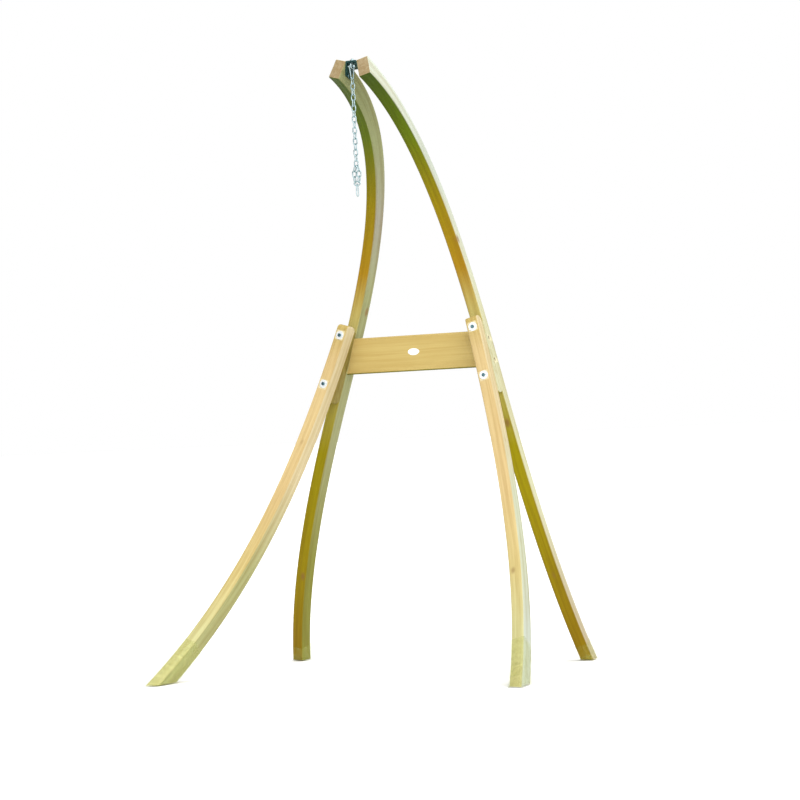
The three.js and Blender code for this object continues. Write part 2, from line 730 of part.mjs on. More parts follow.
/**
 * The loop under the last straight link: two strands that share that link's crown side by side,
 * spread out, and end in one level link.
 */
function chainLoop(top) {
  const play = chain.crownRadius - 2 * chain.wireRadius - GAP;
  const beside = chain.wireRadius + GAP / 2;
  const seat = chain.crownRadius - Math.sqrt(play ** 2 - beside ** 2);
  const settle = play * Math.SQRT1_2;
  const levelEnd = linkSpan / 2 - chain.crownRadius + settle;
  const stops = [...Array(loop.sideLinks - 1).fill(loop.spread), levelEnd];
  const group = new THREE.Group();
  group.position.copy(top);
  let bottom = 0;
  [-1, 1].forEach((hand) => {
    const strand = hand < 0 ? "left" : "right";
    const at = new THREE.Vector3(hand * beside, 0, seat);
    stops.forEach((stop, i) => {
      const rise = i ? linkRise : 0;
      const drop = Math.sqrt((linkSpan - rise) ** 2 - (stop - Math.abs(at.x)) ** 2);
      const next = new THREE.Vector3(hand * stop, 0, at.z - drop);
      const direction = next.clone().sub(at).normalize();
      const turn = i % 2 ? 0 : Math.PI / 2;
      group.add(hungLink(`loop_link_${strand}_${i + 1}`, at.clone(), direction, turn, rise));
      at.copy(next);
    });
    bottom = at.z;
  });
  const level = piece("loop_link_bottom", linkGeometry(linkSpan / 2), "zinc");
  level.rotation.y = Math.PI / 2;
  level.position.set(0, 0, bottom - settle);
  group.add(level);
  const hangAt = top.clone().add(new THREE.Vector3(0, 0, level.position.z - chain.crownRadius));
  return { group, hangAt };
}

/** The snap hook in its own XZ plane, hung on a wire at the origin, and the gate in its side. */
function snapHook() {
  const { wireRadius, topRadius, bowRadius, length, gateTop, gateBottom } = hook;
  const rise = chain.wireRadius + wireRadius + GAP;
  const topCentre = new THREE.Vector3(0, 0, rise - topRadius);
  const bowCentre = new THREE.Vector3(0, 0, rise + bowRadius - length);
  const slope = THREE.MathUtils.radToDeg(Math.asin((bowRadius - topRadius) / (topCentre.z - bowCentre.z)));
  const bow = new Arc(bowCentre, bowRadius, slope, -180 - slope);
  const top = new Arc(topCentre, topRadius, 180 - slope, slope);
  const sideTop = top.getPoint(1);
  const sideBottom = bow.getPoint(0);
  const onSide = (drop) => sideTop.clone().lerp(sideBottom, drop / (sideTop.z - sideBottom.z));
  const pivot = onSide(gateTop);
  const nose = onSide(gateBottom);
  const sideways = nose.clone().sub(pivot).normalize();
  const relief = gate.radius + GAP;
  const path = new THREE.CurvePath();
  path.add(new THREE.LineCurve3(nose.clone().addScaledVector(sideways, relief), sideBottom));
  path.add(bow);
  path.add(new THREE.LineCurve3(bow.getPoint(1), top.getPoint(0)));
  path.add(top);
  path.add(new THREE.LineCurve3(sideTop, pivot.clone().addScaledVector(sideways, -relief)));
  const body = piece("snap_hook", bentBar(path, wireRadius, 36), "zinc");
  const reachDown = pivot.distanceTo(nose);
  const arm = new THREE.CapsuleGeometry(gate.radius, reachDown, 4, 10).rotateX(Math.PI / 2);
  const gateMesh = piece("snap_hook_gate", arm.translate(0, 0, -reachDown / 2), "zinc");
  gateMesh.quaternion.setFromUnitVectors(DOWN, sideways);
  gateMesh.position.copy(pivot);
  const group = new THREE.Group();
  group.add(body, gateMesh);
  return group;
}

// ---------------------------------------------------------------------------------------------
// Assembly
// ---------------------------------------------------------------------------------------------

function sideFrame(frame) {
  const { name, placement } = frame;
  const group = new THREE.Group();
  group.applyMatrix4(placement);
  group.add(mastPiece(frame), legPiece(frame), spacerPiece(frame));
  group.add(footCap(`front_foot_cap_${name}`, legLine, legDepth, cap.frontLength, placement));
  group.add(footCap(`rear_foot_cap_${name}`, mastLine, mastDepth, cap.rearLength, placement));
  clampAxes.forEach((axis) => group.add(...clampFasteners(frame, axis)));
  ["upper", "lower"].forEach((level) => group.add(sideBoltPiece(frame, level)));
  group.add(lagScrewPiece(frame));
  return group;
}

const stand = new THREE.Group();
sides.forEach((frame) => stand.add(sideFrame(frame)));
stand.add(crossPlank(), plankBadge(), crownBracket(), eyeBolt(), eyeNut(), shackleParts());

const bowBottom = pinCentre.clone().addScaledVector(DOWN, shackle.length);
const strand = straightChain(bowBottom);
stand.add(...strand.links);
const hanging = chainLoop(strand.end);
stand.add(hanging.group);
const snap = snapHook();
snap.position.copy(hanging.hangAt);
snap.rotation.z = Math.PI / 2;
stand.add(snap);

stand.updateMatrixWorld(true);
const centre = new THREE.Box3().setFromObject(stand, true).getCenter(new THREE.Vector3());
stand.position.y = -centre.y;

const hammockStand = new THREE.Group();
hammockStand.add(stand);
export default hammockStand;
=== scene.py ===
"""A timber stand for a hanging chair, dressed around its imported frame."""

import json
import logging
import math
from dataclasses import dataclass, field
from enum import Enum
from typing import Callable, Iterable, Sequence

import bmesh
import bpy
import numpy as np
from mathutils import Matrix, Quaternion, Vector

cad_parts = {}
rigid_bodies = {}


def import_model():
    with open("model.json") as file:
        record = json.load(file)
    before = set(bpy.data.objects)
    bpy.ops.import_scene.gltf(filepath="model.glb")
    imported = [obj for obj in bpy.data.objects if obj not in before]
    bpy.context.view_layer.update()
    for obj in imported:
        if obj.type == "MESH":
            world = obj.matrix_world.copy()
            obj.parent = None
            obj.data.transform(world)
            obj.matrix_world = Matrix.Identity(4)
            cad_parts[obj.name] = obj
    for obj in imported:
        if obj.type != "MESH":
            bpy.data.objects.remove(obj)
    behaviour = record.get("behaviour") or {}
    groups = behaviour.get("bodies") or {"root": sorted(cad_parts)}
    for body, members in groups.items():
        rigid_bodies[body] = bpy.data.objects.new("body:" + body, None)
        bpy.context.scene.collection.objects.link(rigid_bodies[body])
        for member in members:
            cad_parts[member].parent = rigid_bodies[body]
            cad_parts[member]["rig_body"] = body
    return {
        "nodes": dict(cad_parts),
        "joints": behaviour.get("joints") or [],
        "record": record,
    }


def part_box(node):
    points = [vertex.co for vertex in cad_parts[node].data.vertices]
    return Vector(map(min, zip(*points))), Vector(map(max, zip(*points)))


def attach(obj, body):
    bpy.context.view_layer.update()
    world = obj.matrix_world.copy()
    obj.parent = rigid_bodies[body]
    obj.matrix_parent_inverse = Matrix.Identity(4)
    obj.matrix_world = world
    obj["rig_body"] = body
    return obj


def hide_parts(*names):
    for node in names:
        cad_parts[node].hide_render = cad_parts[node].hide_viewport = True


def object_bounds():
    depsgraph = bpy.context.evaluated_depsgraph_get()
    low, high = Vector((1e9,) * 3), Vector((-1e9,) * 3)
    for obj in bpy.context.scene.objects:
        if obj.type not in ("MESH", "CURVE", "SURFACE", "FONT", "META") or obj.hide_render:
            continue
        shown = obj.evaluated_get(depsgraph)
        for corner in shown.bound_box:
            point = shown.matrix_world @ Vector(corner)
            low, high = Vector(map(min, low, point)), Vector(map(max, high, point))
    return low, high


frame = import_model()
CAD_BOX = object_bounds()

LOG = logging.getLogger("stand")
# The clearance between neighbouring pieces, in metres.
GAP = 0.0003
# The height of the stand.
TOP = CAD_BOX[1][2]
UP = Vector((0, 0, 1))


# ------------------------------------------------------------------------------------------------
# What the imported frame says
# ------------------------------------------------------------------------------------------------

class CadNode:
    """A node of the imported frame, read but never changed."""

    def __init__(self, name: str) -> None:
        """Reads the node's vertices.

        Args:
            name: the node's name.
        """
        mesh = frame["nodes"][name].data
        self.points = np.array([v.co for v in mesh.vertices], float)

    def centre(self) -> Vector:
        """The middle of the node's box."""
        return Vector((self.points.min(0) + self.points.max(0)) / 2)

    def span(self, axis: Vector) -> tuple[float, float]:
        """How far the node reaches along an axis.

        Args:
            axis: a unit vector.

        Returns:
            The lowest and the highest reach, in metres.
        """
        reach = self.points @ np.array(axis)
        return float(reach.min()), float(reach.max())

    def at_reach(self, axis: Vector, reach: float) -> Vector:
        """The point of the axis through the middle that has a given reach."""
        centre = self.centre()
        return centre + axis * (reach - centre.dot(axis))

    def tip(self, axis: Vector) -> Vector:
        """The end of the axis through the middle, where the node reaches furthest."""
        return self.at_reach(axis, self.span(axis)[1])


def body_of(node: str) -> str:
    """The body that a node of the frame rides on."""
    return frame["nodes"][node]["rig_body"]


def joint_place(name: str) -> Vector:
    """The place of a joint's axis at rest."""
    return Vector(next(j["pos_m"] for j in frame["joints"] if j["name"] == name))


# ------------------------------------------------------------------------------------------------
# Finishes
# ------------------------------------------------------------------------------------------------

class Graph:
    """A short way to write a material's nodes."""

    def __init__(self, name: str) -> None:
        """Starts an empty material.

        Args:
            name: the material's name.
        """
        self.material = bpy.data.materials.new(name)
        self.material.use_nodes = True
        self.tree = self.material.node_tree
        self.tree.nodes.clear()
        self.surface = self.node("ShaderNodeBsdfPrincipled")
        output = self.node("ShaderNodeOutputMaterial")
        self.tree.links.new(self.surface.outputs[0], output.inputs["Surface"])

    def node(self, kind: str, **settings: object) -> bpy.types.Node:
        """Adds a node.

        Args:
            kind: the node's type.
            settings: its properties.

        Returns:
            The new node.
        """
        made = self.tree.nodes.new(kind)
        for key, value in settings.items():
            setattr(made, key, value)
        return made

    def put(self, socket: bpy.types.NodeSocket, value: object) -> None:
        """Links a socket to an output, or sets it to a plain value.

        Args:
            socket: the input to fill.
            value: an output socket or a plain value.
        """
        if isinstance(value, bpy.types.NodeSocket):
            self.tree.links.new(value, socket)
        else:
            socket.default_value = value

    def math(self, how: str, *values: object) -> bpy.types.NodeSocket:
        """Adds a maths node.

        Args:
            how: the operation.
            values: its inputs.

        Returns:
            Its result.
        """
        made = self.node("ShaderNodeMath", operation=how)
        for socket, value in zip(made.inputs, values):
            self.put(socket, value)
        return made.outputs[0]

    def stretched(self, coords: object, scale: Sequence[float],
                  move: Sequence[float] = (0, 0, 0)) -> bpy.types.NodeSocket:
        """Scales and moves coordinates along each axis.

        Args:
            coords: the coordinates.
            scale: a factor for each axis.
            move: a shift for each axis.

        Returns:
            The new coordinates.
        """
        made = self.node("ShaderNodeMapping")
        self.put(made.inputs["Vector"], coords)
        self.put(made.inputs["Scale"], scale)
        self.put(made.inputs["Location"], move)
        return made.outputs[0]

    def noise(self, coords: object, scale: float = 1.0, detail: float = 3.0,
              distortion: float = 0.0) -> bpy.types.NodeSocket:
        """Adds a noise texture.

        Args:
            coords: the coordinates that it reads.
            scale: how fine it is.
            detail: how many finer layers it has.
            distortion: how far it is bent.

        Returns:
            Its value, 0 to 1.
        """
        made = self.node("ShaderNodeTexNoise")
        self.put(made.inputs["Vector"], coords)
        self.put(made.inputs["Scale"], scale)
        self.put(made.inputs["Detail"], detail)
        self.put(made.inputs["Distortion"], distortion)
        return made.outputs["Fac"]

    def ramp(self, value: object, low: float, high: float,
             low_to: float = 0.0, high_to: float = 1.0) -> bpy.types.NodeSocket:
        """Carries a value smoothly from one range to another and holds it at the ends.

        Args:
            value: the value.
            low: where the first range starts.
            high: where the first range ends.
            low_to: where the second range starts.
            high_to: where the second range ends.

        Returns:
            The new value.
        """
        made = self.node("ShaderNodeMapRange", interpolation_type="SMOOTHSTEP")
        for name, item in (("Value", value), ("From Min", low), ("From Max", high),
                           ("To Min", low_to), ("To Max", high_to)):
            self.put(made.inputs[name], item)
        return made.outputs[0]

    def mix(self, factor: object, first: object, second: object,
            how: str = "MIX") -> bpy.types.NodeSocket:
        """Mixes two colours.

        Args:
            factor: the share of the second colour.
            first: the first colour.
            second: the second colour.
            how: the way of mixing.

        Returns:
            The mixed colour.
        """
        made = self.node("ShaderNodeMix", data_type="RGBA", blend_type=how)
        self.put(made.inputs[0], factor)
        self.put(made.inputs[6], first)
        self.put(made.inputs[7], second)
        return made.outputs[2]

    def bump(self, height: object, distance: float, strength: float = 1.0) -> None:
        """Roughens the surface.

        Args:
            height: the height field.
            distance: the height in metres.
            strength: how strongly it shows, 0 to 1.
        """
        made = self.node("ShaderNodeBump")
        self.put(made.inputs["Height"], height)
        made.inputs["Distance"].default_value = distance
        made.inputs["Strength"].default_value = strength
        self.put(self.surface.inputs["Normal"], made.outputs[0])

    def set(self, **values: object) -> None:
        """Sets or links the surface's own inputs.

        Args:
            values: the inputs by name, with an underscore for a space.
        """
        for key, value in values.items():
            self.put(self.surface.inputs[key.replace("_", " ")], value)


def rgb(*values: float) -> tuple[float, float, float, float]:
    """Turns display values of 0 to 255 into a linear colour.

    Args:
        values: red, green and blue.

    Returns:
        The colour, with full cover.
    """
    def linear(v: float) -> float:
        """One channel, made linear."""
        v /= 255
        return v / 12.92 if v <= 0.04045 else ((v + 0.055) / 1.055) ** 2.4

    return (*(linear(v) for v in values), 1.0)


class Grain(Enum):
    """Where a wood finish finds the direction of its grain."""

    SWEPT = "swept"
    ACROSS = "across"
    UPRIGHT = "upright"


@dataclass(frozen=True)
class TimberFinish:
    """Oiled, pressure-treated softwood with fibres, growth bands, joints and small knots."""

    name: str
    grain: Grain
    pale: tuple = rgb(228, 220, 188)
    deep: tuple = rgb(200, 184, 142)
    knot: tuple = rgb(122, 88, 48)
    roughness: float = 0.6
    offset: float = 0.0

    def coordinates(self, graph: Graph) -> bpy.types.NodeSocket:
        """Finds coordinates with the first axis along the grain.

        Args:
            graph: the material's nodes.

        Returns:
            The coordinates.
        """
        if self.grain is Grain.SWEPT:
            return graph.node("ShaderNodeAttribute", attribute_name="grain").outputs["Vector"]
        place = graph.node("ShaderNodeTexCoord").outputs["Object"]
        if self.grain is Grain.ACROSS:
            return place
        made = graph.node("ShaderNodeMapping")
        graph.put(made.inputs["Vector"], place)
        graph.put(made.inputs["Rotation"], (0, math.radians(90), 0))
        return made.outputs[0]

    def build(self) -> bpy.types.Material:
        """Makes the material.

        Returns:
            The new material.
        """
        graph = Graph(self.name)
        coords = graph.stretched(self.coordinates(graph), (1, 1, 1), (self.offset, 0, 0))
        warp = graph.noise(graph.stretched(coords, (1.6, 5, 5)), 1.0, 2.0)
        bent = graph.node("ShaderNodeVectorMath", operation="MULTIPLY_ADD")
        graph.put(bent.inputs[0], warp)
        bent.inputs[1].default_value = (0, 0.03, 0.03)
        graph.put(bent.inputs[2], coords)
        bands = graph.noise(graph.stretched(bent.outputs[0], (1.3, 70, 70)), 1.0, 2.5, 0.4)
        fibres = graph.noise(graph.stretched(coords, (16, 900, 900)), 1.0, 3.0)
        streaks = graph.noise(graph.stretched(coords, (5, 210, 210)), 1.0, 3.0)
        clouds = graph.noise(graph.stretched(coords, (2.2, 9, 9)), 1.0, 3.0)

        tone = graph.math("ADD", graph.ramp(bands, 0.34, 0.66, 0.0, 0.55),
                          graph.ramp(streaks, 0.3, 0.7, 0.0, 0.3))
        tone = graph.math("ADD", tone, graph.ramp(fibres, 0.25, 0.75, -0.08, 0.16))
        tone = graph.math("ADD", tone, graph.ramp(clouds, 0.3, 0.72, -0.12, 0.2))
        colour = graph.mix(tone, self.pale, self.deep)

        # Per-corner tint: painted light and shade by the way each face looks, plus the end-face and
        # plank tints.
        stain = graph.node("ShaderNodeAttribute", attribute_name="stain").outputs["Color"]
        colour = graph.mix(1.0, colour, stain, "MULTIPLY")

        cells = graph.node("ShaderNodeTexVoronoi", feature="F1")
        graph.put(cells.inputs["Vector"], graph.stretched(bent.outputs[0], (6.5, 11, 11)))
        cells.inputs["Scale"].default_value = 1.0
        split = graph.node("ShaderNodeSeparateColor")
        graph.put(split.inputs[0], cells.outputs["Color"])
        rare = graph.ramp(split.outputs[0], 0.62, 0.64)
        knots = graph.math("MULTIPLY", rare, graph.ramp(cells.outputs["Distance"], 0.17, 0.05))
        colour = graph.mix(graph.math("MULTIPLY", knots, 0.75), colour, self.knot)

        graph.set(Base_Color=colour, Roughness=graph.ramp(streaks, 0.3, 0.7, self.roughness - 0.07,
                                                          self.roughness + 0.1))
        graph.surface.inputs["Specular IOR Level"].default_value = 0.12
        relief = graph.math("ADD", fibres, graph.math("MULTIPLY", bands, 0.8))
        graph.bump(relief, 0.0005, 0.6)
        return graph.material


@dataclass(frozen=True)
class ZincFinish:
    """Bright zinc plating with a faint blue bloom and handling marks."""

    name: str = "bright_zinc"
    colour: tuple = (0.50, 0.61, 0.63, 1)
    bloom: tuple = (0.20, 0.31, 0.33, 1)
    metallic: float = 1.0

    def build(self) -> bpy.types.Material:
        """Makes the material.

        Returns:
            The new material.
        """
        graph = Graph(self.name)
        place = graph.node("ShaderNodeTexCoord").outputs["Object"]
        cloud = graph.noise(place, 140, 4)
        marks = graph.noise(place, 900, 3)
        graph.set(
            Base_Color=graph.mix(graph.ramp(cloud, 0.35, 0.7), self.colour, self.bloom),
            Roughness=graph.ramp(marks, 0.3, 0.75, 0.2, 0.42),
            Metallic=self.metallic,
        )
        graph.bump(marks, 0.00008, 0.5)
        return graph.material


@dataclass(frozen=True)
class DarkSteelFinish:
    """Folded steel plate under a dark blue-green coat, a little worn."""

    name: str = "dark_steel"
    coat: tuple = rgb(24, 66, 64)
    worn: tuple = rgb(70, 120, 116)

    def build(self) -> bpy.types.Material:
        """Makes the material.

        Returns:
            The new material.
        """
        graph = Graph(self.name)
        place = graph.node("ShaderNodeTexCoord").outputs["Object"]
        cloud = graph.noise(place, 60, 5)
        grit = graph.noise(place, 1400, 2)
        graph.set(
            Base_Color=graph.mix(graph.ramp(cloud, 0.55, 0.75, 0, 0.7), self.coat, self.worn),
            Roughness=graph.ramp(cloud, 0.3, 0.7, 0.3, 0.5),
            Metallic=0.5,
        )
        graph.bump(grit, 0.0001, 0.5)
        return graph.material


@dataclass(frozen=True)
class ClearPlasticFinish:
    """Clear, faintly olive moulded plastic, scuffed near the ground."""

    name: str = "clear_plastic"
    tint: tuple = rgb(186, 192, 96)
    scuffed: tuple = rgb(206, 204, 150)
    cover: float = 0.10

    def build(self) -> bpy.types.Material:
        """Makes the material.

        Returns:
            The new material.
        """
        graph = Graph(self.name)
        place = graph.node("ShaderNodeTexCoord").outputs["Object"]
        scuff = graph.noise(graph.stretched(place, (60, 60, 14)), 1, 4)
        graph.set(
            Base_Color=graph.mix(graph.ramp(scuff, 0.5, 0.8, 0, 0.25), self.tint, self.scuffed),
            Roughness=graph.ramp(scuff, 0.35, 0.75, 0.12, 0.3),
            Alpha=graph.ramp(scuff, 0.3, 0.8, self.cover - 0.04, self.cover + 0.08),
            IOR=1.45,
        )
        graph.bump(scuff, 0.0003, 0.25)
        return graph.material


@dataclass(frozen=True)
class EnamelFinish:
    """Smooth white enamel with a slight unevenness."""

    name: str = "white_enamel"
    white: tuple = rgb(250, 250, 246)
    cream: tuple = rgb(238, 238, 228)

    def build(self) -> bpy.types.Material:
        """Makes the material.

        Returns:
            The new material.
        """
        graph = Graph(self.name)
        place = graph.node("ShaderNodeTexCoord").outputs["Object"]
        cloud = graph.noise(place, 90, 3)
        graph.set(
            Base_Color=graph.mix(graph.ramp(cloud, 0.35, 0.7), self.white, self.cream),
            Roughness=graph.ramp(cloud, 0.3, 0.7, 0.22, 0.34),
            Coat_Weight=0.4,
        )
        graph.bump(cloud, 0.0001, 0.4)
        return graph.material


@dataclass
class Palette:
    """Every finish of the stand, each built once."""

    timber: bpy.types.Material = field(init=False)
    plank: bpy.types.Material = field(init=False)
    spacer: bpy.types.Material = field(init=False)
    zinc: bpy.types.Material = field(init=False)
    washer: bpy.types.Material = field(init=False)
    bolt: bpy.types.Material = field(init=False)
    steel: bpy.types.Material = field(init=False)
    plastic: bpy.types.Material = field(init=False)
    enamel: bpy.types.Material = field(init=False)

    def __post_init__(self) -> None:
        """Builds the finishes."""
        self.timber = TimberFinish("treated_timber", Grain.SWEPT).build()
        self.plank = TimberFinish("plank_timber", Grain.ACROSS, pale=rgb(204, 182, 122),
                                  deep=rgb(190, 164, 102), knot=rgb(150, 104, 48),
                                  offset=3.7).build()
        self.spacer = TimberFinish("spacer_timber", Grain.UPRIGHT, offset=1.3).build()
        self.zinc = ZincFinish().build()
        # Lit and shaded copies of the zinc: the washers paler for a painted highlight, the bolt
        # heads darker for painted shade.
        self.washer = ZincFinish("pale_zinc", (0.93, 0.95, 0.95, 1), (0.84, 0.88, 0.88, 1),
                                 0.55).build()
        self.bolt = ZincFinish("blued_steel", (0.16, 0.27, 0.30, 1), (0.07, 0.13, 0.15, 1)).build()
        self.steel = DarkSteelFinish().build()
        self.plastic = ClearPlasticFinish().build()
        self.enamel = EnamelFinish().build()


# ------------------------------------------------------------------------------------------------
# Meshes
# ------------------------------------------------------------------------------------------------

def finish_piece(obj: bpy.types.Object, material: bpy.types.Material, body: str,
                 nodes: Iterable[str], sharp: float = 35.0) -> bpy.types.Object:
    """Gives a new piece its finish and its place in the frame.

    Args:
        obj: the piece.
        material: its finish.
        body: the body that it rides on.
        nodes: the nodes of the frame that it stands for.
        sharp: edges that turn by more than this many degrees stay crisp.

    Returns:
        The same piece.
    """
    obj.data.materials.clear()
    obj.data.materials.append(material)
    obj.data.shade_smooth()
    obj.data.set_sharp_from_angle(angle=math.radians(sharp))
    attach(obj, body)
    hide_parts(*nodes)
    LOG.info("%s stands for %s", obj.name, ", ".join(nodes))
    return obj


def new_object(name: str, bm: bmesh.types.BMesh) -> bpy.types.Object:
    """Makes an object of a mesh under construction, which is then freed.

    Args:
        name: the piece's name.
        bm: its mesh.

    Returns:
        The new object.
    """
    bmesh.ops.recalc_face_normals(bm, faces=bm.faces)
    mesh = bpy.data.meshes.new(name)
    bm.to_mesh(mesh)
    bm.free()
    obj = bpy.data.objects.new(name, mesh)
    bpy.context.scene.collection.objects.link(obj)
    return obj


def applied(obj: bpy.types.Object) -> bpy.types.Object:
    """Bakes an object's modifiers into its mesh.

    Args:
        obj: the object.

    Returns:
        The same object.
    """
    depsgraph = bpy.context.evaluated_depsgraph_get()
    depsgraph.update()
    mesh = bpy.data.meshes.new_from_object(obj.evaluated_get(depsgraph))
    obj.modifiers.clear()
    obj.data = mesh
    return obj


def skin(bm: bmesh.types.BMesh, rings: Sequence[Sequence[Vector]], closed: bool = False) -> list:
    """Joins rings of points with faces.

    Args:
        bm: the mesh to add to.
        rings: rings with the same number of points each.
        closed: True joins the last ring to the first, False caps both ends.

    Returns:
        The rings' vertices.
    """
    made = [[bm.verts.new(p) for p in ring] for ring in rings]
    count = len(made[0])
    pairs = list(zip(made, made[1:])) + ([(made[-1], made[0])] if closed else [])
    for a, b in pairs:
        for i in range(count):
            j = (i + 1) % count
            bm.faces.new((a[i], a[j], b[j], b[i]))
    if not closed:
        bm.faces.new(made[0][::-1])
        bm.faces.new(made[-1])
    return made


def circle(place: Vector, turn: Quaternion, radius: float, height: float,
           sides: int) -> list[Vector]:
    """Finds points of a circle square to an axis.

    Args:
        place: where height 0 lies.
        turn: the turn from upright to the axis.
        radius: the circle's radius.
        height: its height along the axis.
        sides: how many points it has.

    Returns:
        The points.
    """
    return [place + turn @ Vector((radius * math.cos(a), radius * math.sin(a), height))
            for a in np.linspace(0, 2 * math.pi, sides, endpoint=False)]


def turned(name: str, profile: Sequence[tuple[float, float]], place: Vector, axis: Vector,
           sides: int = 40, ring: bool = False) -> bpy.types.Object:
    """A turned piece.

    Args:
        name: the piece's name.
        profile: pairs of radius and height along the axis.
        place: where height 0 lies.
        axis: the direction of the axis.
        sides: points round the piece.
        ring: True where the profile closes on itself round a hole.

    Returns:
        The new object.
    """
    turn = UP.rotation_difference(axis)
    bm = bmesh.new()
    skin(bm, [circle(place, turn, radius, height, sides) for radius, height in profile],
         closed=ring)
    return new_object(name, bm)


def rounded_bar(points: Sequence[Vector], radius: float, closed: bool, sides: int = 14) -> list:
    """Rings of a round bar along a path.

    Args:
        points: the path.
        radius: the bar's radius.
        closed: True where the path is a loop in one plane.
        sides: points round the bar.

    Returns:
        The rings.
    """
    count = len(points)
    rings = []
    normal = None
    for i, point in enumerate(points):
        before = points[i - 1] if closed or i else point
        after = points[(i + 1) % count] if closed or i + 1 < count else point
        forward = (after - before).normalized()
        if normal is None:
            normal = forward.orthogonal().normalized()
            if closed:
                normal = (points[count // 4] - points[0]).cross(
                    points[count // 2] - points[0]).normalized()
        normal = (normal - forward * normal.dot(forward)).normalized()
        side = forward.cross(normal)
        angles = [2 * math.pi * k / sides for k in range(sides)]
        rings.append([point + (normal * math.cos(a) + side * math.sin(a)) * radius for a in angles])
    return rings


def domed_ends(rings: list, points: Sequence[Vector], radius: float) -> list:
    """Adds rings that round off a bar's two ends.

    Args:
        rings: the bar's rings.
        points: its path.
        radius: its radius.

    Returns:
        The rings with the rounded ends.
    """
    def dome(ring: list, centre: Vector, out: Vector) -> list:
        """Makes shrinking rings beyond one end.

        Args:
            ring: the last full ring.
            centre: its middle.
            out: the way out of the bar.

        Returns:
            The rings.
        """
        made = []
        for angle in (25, 50, 72, 86):
            a = math.radians(angle)
            shift = out * radius * 0.55 * math.sin(a)
            made.append([centre + (p - centre) * math.cos(a) + shift for p in ring])
        return made

    start = dome(rings[0], points[0], (points[0] - points[1]).normalized())
    end = dome(rings[-1], points[-1], (points[-1] - points[-2]).normalized())
    return start[::-1] + rings + end


def arc(centre: Vector, radius: float, start: float, stop: float, steps: int,
        side: Vector, up: Vector) -> list[Vector]:
    """Finds points of an arc in the plane of two vectors.

    Args:
        centre: the arc's centre.
        radius: its radius.
        start: the first angle, in degrees from side towards up.
        stop: the last angle.
        steps: how many steps lie between them.
        side: the direction of angle 0.
        up: the direction of angle 90.

    Returns:
        The points.
    """
    made = []
    for i in range(steps + 1):
        a = math.radians(start + (stop - start) * i / steps)
        made.append(centre + side * radius * math.cos(a) + up * radius * math.sin(a))
    return made


def softened(name: str, node: str, width: float, segments: int = 3) -> bpy.types.Object:
    """A copy of a node's solid with rounded edges.

    Args:
        name: the new piece's name.
        node: the node to copy.
        width: the width of the rounding.
        segments: faces across the rounding.

    Returns:
        The new object.
    """
    bm = bmesh.new()
    bm.from_mesh(frame["nodes"][node].data)
    bmesh.ops.remove_doubles(bm, verts=bm.verts, dist=1e-5)
    bmesh.ops.dissolve_limit(bm, angle_limit=math.radians(1), verts=bm.verts, edges=bm.edges)
    obj = new_object(name, bm)
    bevel = obj.modifiers.new("edge", "BEVEL")
    bevel.width = width
    bevel.segments = segments
    bevel.limit_method = "ANGLE"
    bevel.angle_limit = math.radians(30)
    return applied(obj)


def tint_and_shade_faces(obj: bpy.types.Object, tint: Callable[[bpy.types.MeshPolygon], tuple]) -> None:
    """Tints a piece of timber face by face, with painted light and shade and plain tints.

    Args:
        obj: the piece.
        tint: gives the colour of a face.
    """
    stain = obj.data.attributes.new("stain", "FLOAT_COLOR", "CORNER")
    for face in obj.data.polygons:
        colour = tint(face)
        for corner in face.loop_indices:
            stain.data[corner].color = colour


# ------------------------------------------------------------------------------------------------
# Timber
# ------------------------------------------------------------------------------------------------

@dataclass(frozen=True)
class Anchor:
    """A point of a centre line in a side frame's plane, with its heading from upright."""

    x: float
    y: float
    heading: float
    before: float = 0.0
    after: float = 0.0

    def place(self) -> np.ndarray:
        """The point."""
        return np.array([self.x, self.y])

    def toward(self, distance: float) -> np.ndarray:
        """A point at a distance along the heading."""
        a = math.radians(self.heading)
        return self.place() + distance * np.array([math.sin(a), math.cos(a)])


@dataclass(frozen=True)
class PaintedFaceLight:
    """Painted light and shade along one face of a timber: shares of the height and tints."""

    stops: tuple

    def at(self, height: float) -> Vector:
        """Finds the tint at a height.

        Args:
            height: a share of the stand's height.

        Returns:
            The tint.
        """
        shares = [share for share, _ in self.stops]
        return Vector([float(np.interp(height, shares, [tint[k] for _, tint in self.stops]))
                       for k in range(3)])


# Painted light and shade on the treated timber, as factors on its own colour, from dark to pale.
DEEP_MOSS = (0.05, 0.10, 0.0)
MOSS = (0.12, 0.19, 0.0)
UMBER = (0.30, 0.21, 0.0)
BRONZE = (0.32, 0.26, 0.0)
AMBER = (0.42, 0.26, 0.01)
OLIVE = (0.36, 0.33, 0.0)
LICHEN = (0.25, 0.27, 0.06)
FERN = (0.33, 0.36, 0.25)
SAGE = (0.36, 0.42, 0.29)
SLATE = (0.38, 0.39, 0.43)
REED = (0.43, 0.47, 0.30)
OCHRE = (0.60, 0.50, 0.24)
STRAW = (0.60, 0.59, 0.30)
HONEY = (0.70, 0.63, 0.39)
LARCH = (0.74, 0.61, 0.42)
PALE_STRAW = (0.65, 0.68, 0.48)
SAND = (0.71, 0.66, 0.58)
DRIFTWOOD = (0.55, 0.53, 0.55)
ASH = (0.54, 0.62, 0.64)
CHALK = (0.63, 0.69, 0.66)
SILVER = (0.53, 0.63, 0.77)
FROST = (0.65, 0.76, 0.92)
CREAM = (0.80, 0.77, 0.63)
